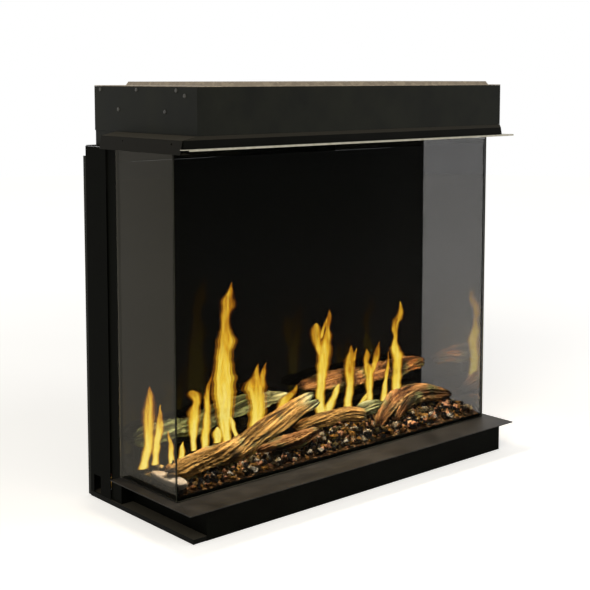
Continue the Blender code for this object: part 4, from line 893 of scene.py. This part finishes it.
def tongue(rows, y, scale, seed):
    """The points and faces of one tongue: ovals up a smooth line, with a ragged edge."""
    rings = []
    for x, _, z, half in along([(x, 0, z, half) for x, z, half in rows], 0.004):
        flutter = 0.22 * noise(Vector((seed, z * 55, 0))) + 0.12 * noise(Vector((seed, z * 150, 5)))
        half = max(half * (1 + flutter), 0.0007) * scale
        sway = 0.005 * noise(Vector((seed, z * 14, 0)))
        shift = 0.0022 * noise(Vector((seed + 9, z * 60, 0)))
        rings.append([Vector((x + shift + half * math.cos(a), y + sway + half * FLAME_DEPTH * math.sin(a), z))
                      for a in (math.tau * k / FLAME_RING for k in range(FLAME_RING))])
    return skin(rings)


print("flames:", len(FLAMES), "tongues:", sum(len(tongues) for _, tongues in FLAMES.values()))

# %% [markdown]
# ## Glowing gas
# Hot soot shines by itself, so the flame's finish is emission. Three skins nest in a tongue, a thin
# orange one outside, a yellow one and a pale core, and each lets some light through, so that the glow
# adds up towards the middle. The share of the height that is kept in the mesh leads from pale yellow
# at the foot to orange at the tip, where the gas thins out and shows what lies behind it. A noise
# drawn out upwards, 9 mm wide and 60 mm tall, gives the streaks that rise in it. Real flame is far
# brighter than a picture can hold, so the strength only undoes what the smoked pane in front holds
# back, and a colour renders about as it is written. The lamps further down do the lighting.

# %% Flame finish
def glowing_gas(name, stops, foot_share, tip_share):
    """A gas that covers foot_share of what lies behind it at the flame's foot, and tip_share at its tip."""
    gas, tree, shader = finish(name, Roughness=1.0, Base_Color=(0, 0, 0, 1), Specular_IOR_Level=0.0,
                               Emission_Strength=1 / PANE_PASSES)
    height = put(tree, "Attribute", {"attribute_name": "height_share"}).outputs["Fac"]
    place = put(tree, "TexCoord").outputs["Object"]
    drawn = put(tree, "Mapping", {"Scale": (1 / (9 * MM), 1 / (14 * MM), 1 / (60 * MM))}, {"Vector": place})
    streaks = put(tree, "TexNoise", {"Scale": 1.0, "Detail": 3.0, "Distortion": 0.6}, {"Vector": drawn})
    moved = put(tree, "Math", {"operation": "MULTIPLY_ADD", 1: 1.7, 2: -0.85}, {0: streaks})
    level = put(tree, "Math", {"operation": "ADD"}, {0: height, 1: moved})
    colour = put(tree, "ValToRGB", {"stops": stops}, {"Fac": level})
    thin = put(tree, "MapRange", {"From Min": 0.15, "From Max": 0.95, "To Min": foot_share, "To Max": tip_share},
               {"Value": level})
    feed(shader, Emission_Color=colour, Alpha=thin)
    gas.cycles.emission_sampling = "NONE"
    return gas


GAS = [(part_name, scale, glowing_gas("glowing_soot_flame_" + part_name, stops, *shares))
       for part_name, scale, shares, stops in (
           ("edge", 1.18, (0.22, 0.03), [(0.0, "#cc8e26"), (0.5, "#b46a18"), (1.0, "#6e360c")]),
           ("body", 0.90, (0.42, 0.12), [(0.0, "#fce048"), (0.4, "#f4c02c"), (0.8, "#d08420"), (1.0, "#945012")]),
           ("core", 0.64, (0.84, 0.20), [(0.0, "#fffa9a"), (0.35, "#ffee64"), (0.7, "#fccc34"), (1.0, "#d88a20")]))]
for number, (name, (y, tongues)) in enumerate(FLAMES.items()):
    foot = min(rows[0][1] for rows in tongues)
    top = max(rows[-1][1] for rows in tongues)
    for part_name, scale, gas in GAS:
        skins = [tongue(rows, y, scale, number * 3.7 + part) for part, rows in enumerate(tongues)]
        made = piece("flame_%s_%s" % (name, part_name), *gather(skins), gas, smooth=180)
        mark(made.data, "height_share", [(vert.co.z - foot) / (top - foot) for vert in made.data.vertices])

# %% [markdown]
# ## Header screws
# Pan-head screws hold the header's sides to its frame. Each head is a low dome, 9 mm across, turned
# as rings from its rim to its middle, with a cross-shaped recess left out because it is too small to
# show. The photograph shows six on the left side, and the right side mirrors them. They are blackened
# steel, a little glossier and browner than the header's coat, so the coat's function serves them too.

# %% Screws
SCREW_R, HEADER_SIDE, HEADER_FRONT = 0.0045, abs(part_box("header_wrap")[0].x), -0.1992
# Where the screws sit: how far behind the header's front, and the height.
SCREWS = [(0.3508, 0.9140), (0.2112, 0.9140), (0.0694, 0.9135), (0.0408, 0.9030), (0.2804, 0.8720),
          (0.1091, 0.8700)]
heads = []
for side in (-1, 1):
    for behind, z in SCREWS:
        rings = []
        for share, out in ((1.0, -0.0004), (1.0, 0.0006), (0.86, 0.0015), (0.55, 0.0022), (0.22, 0.0024)):
            rings.append([(side * (HEADER_SIDE + out), HEADER_FRONT + behind + side * SCREW_R * share * math.cos(a),
                           z + SCREW_R * share * math.sin(a)) for a in (math.tau * k / 16 for k in range(16))])
        heads.append(skin(rings))
screw_coat = powder_coat("black_oxide_steel_screw", "#1b1a16", "#35332b", 0.4, 0.1, level=0.5)
piece("header_screws", *gather(heads), screw_coat, "zinc", 40)

# %% [markdown]
# ## Backdrop and floor
# A plain studio: a pale world and a pale floor. Both would have to be lit far too strongly to come
# out white, so rays that show them, from the camera, over a mirror or through glass, get a white that
# is added in the material, and the light on the object stays level. The floor's share of it is
# smaller near the fireplace, where its shadow falls, than far away, where the lamps don't reach.

# %% World and floor
def shows_backdrop(tree):
    """1 for rays that show the backdrop, 0 for those that only carry its light."""
    ray = put(tree, "LightPath")
    seen = put(tree, "Math", {"operation": "MAXIMUM"},
               {0: ray.outputs["Is Camera Ray"], 1: ray.outputs["Is Glossy Ray"]})
    return put(tree, "Math", {"operation": "MAXIMUM"}, {0: seen, 1: ray.outputs["Is Transmission Ray"]})


world = bpy.data.worlds.new("pale_studio")
bpy.context.scene.world = world
world.use_nodes = True
tree = world.node_tree
tree.nodes.clear()
dim = put(tree, "Background", {"Color": linear("#fbf8f2"), "Strength": 0.45})
white = put(tree, "Background", {"Color": (1, 1, 1, 1), "Strength": 1.0})
either = put(tree, "MixShader", links={"Fac": shows_backdrop(tree), 1: dim, 2: white})
put(tree, "OutputWorld", links={"Surface": either})

paint, tree, shader = finish("white_studio_floor_paint", Roughness=0.9, Specular_IOR_Level=0.0)
place = put(tree, "TexCoord").outputs["Object"]
scuff = put(tree, "TexNoise", {"Scale": 1.2, "Detail": 3.0}, {"Vector": place})
feed(shader, Base_Color=put(tree, "ValToRGB", {"stops": [(0.3, "#f1f1f0"), (0.7, "#f5f5f4")]}, {"Fac": scuff}))
away = put(tree, "VectorMath", {"operation": "LENGTH"}, {0: place}).outputs["Value"]
paler = put(tree, "MapRange", {"From Min": 0.9, "From Max": 3.2, "To Min": 0.40, "To Max": 0.62}, {"Value": away})
glow = put(tree, "Emission", {"Color": (1, 1, 1, 1)}, {"Strength": paler})
both = put(tree, "AddShader", links={0: shader, 1: glow})
either = put(tree, "MixShader", links={"Fac": shows_backdrop(tree), 1: shader, 2: both})
tree.links.new(either.outputs[0], tree.nodes["Material Output"].inputs["Surface"])

FLOOR_R, FLOOR_Z = 9, -0.0005
mesh = bpy.data.meshes.new("studio_floor")
rim = [(FLOOR_R * math.cos(a), FLOOR_R * math.sin(a), FLOOR_Z) for a in (math.tau * k / 96 for k in range(96))]
mesh.from_pydata(rim, [], [range(96)])
floor = bpy.data.objects.new("studio_floor", mesh)
bpy.context.collection.objects.link(floor)
mesh.materials.append(paint)

# %% [markdown]
# ## Lamps
# One large soft lamp stands at the front left and a weaker one at the front right, set so that a
# colour renders about as it is written. Inside the firebox, small lamps do what the real flames do,
# because the drawn ones give no light: a row of weak amber ones inside the flames for the glow on the
# liner and the rear logs, a stronger pale row in front of them for the fronts of the logs and the
# embers, and one over the stone. No lamp shows in a mirror, because the flames themselves do.

# %% Lamps
FIRE_LAMPS = [(-0.43, 0.20), (-0.31, 0.19), (-0.235, 0.26), (-0.14, 0.20), (-0.05, 0.20), (0.065, 0.24),
              (0.155, 0.20), (0.23, 0.20), (0.325, 0.24), (0.41, 0.20)]
LAMPS = [("key_lamp", "AREA", (-3.2, -2.2, 2.6), (0, 0, 0.5), 95, "#fff8ea", 2.4),
         ("fill_lamp", "AREA", (2.6, -2.8, 1.8), (0, 0, 0.5), 30, "#f6f8ff", 2.2)]
for number, (x, z) in enumerate(FIRE_LAMPS):
    LAMPS.append(("fire_lamp_%d" % number, "POINT", (x, -0.012, z), (x, 0, 0), 0.5, "#ffc27a", 0.02))
    LAMPS.append(("front_lamp_%d" % number, "POINT", (x, -0.112, z + 0.04), (x, 0, 0), 2.4, "#fff0da", 0.04))
LAMPS.append(("corner_lamp", "POINT", (-0.452, -0.100, 0.200), (0, 0, 0), 0.7, "#fff0da", 0.03))
for name, kind, place, aim, watts, colour, size in LAMPS:
    light = bpy.data.lights.new(name, kind)
    light.energy, light.color = watts, linear(colour)[:3]
    if kind == "AREA":
        light.shape, light.size = "DISK", size
    else:
        light.shadow_soft_size = size
    lamp = bpy.data.objects.new(name, light)
    bpy.context.collection.objects.link(lamp)
    lamp.location = place
    lamp.rotation_euler = (Vector(aim) - Vector(place)).to_track_quat("-Z", "Y").to_euler()
    lamp.visible_glossy = False
bpy.context.scene.view_settings.view_transform = "Standard"
print("lamps:", len(LAMPS))
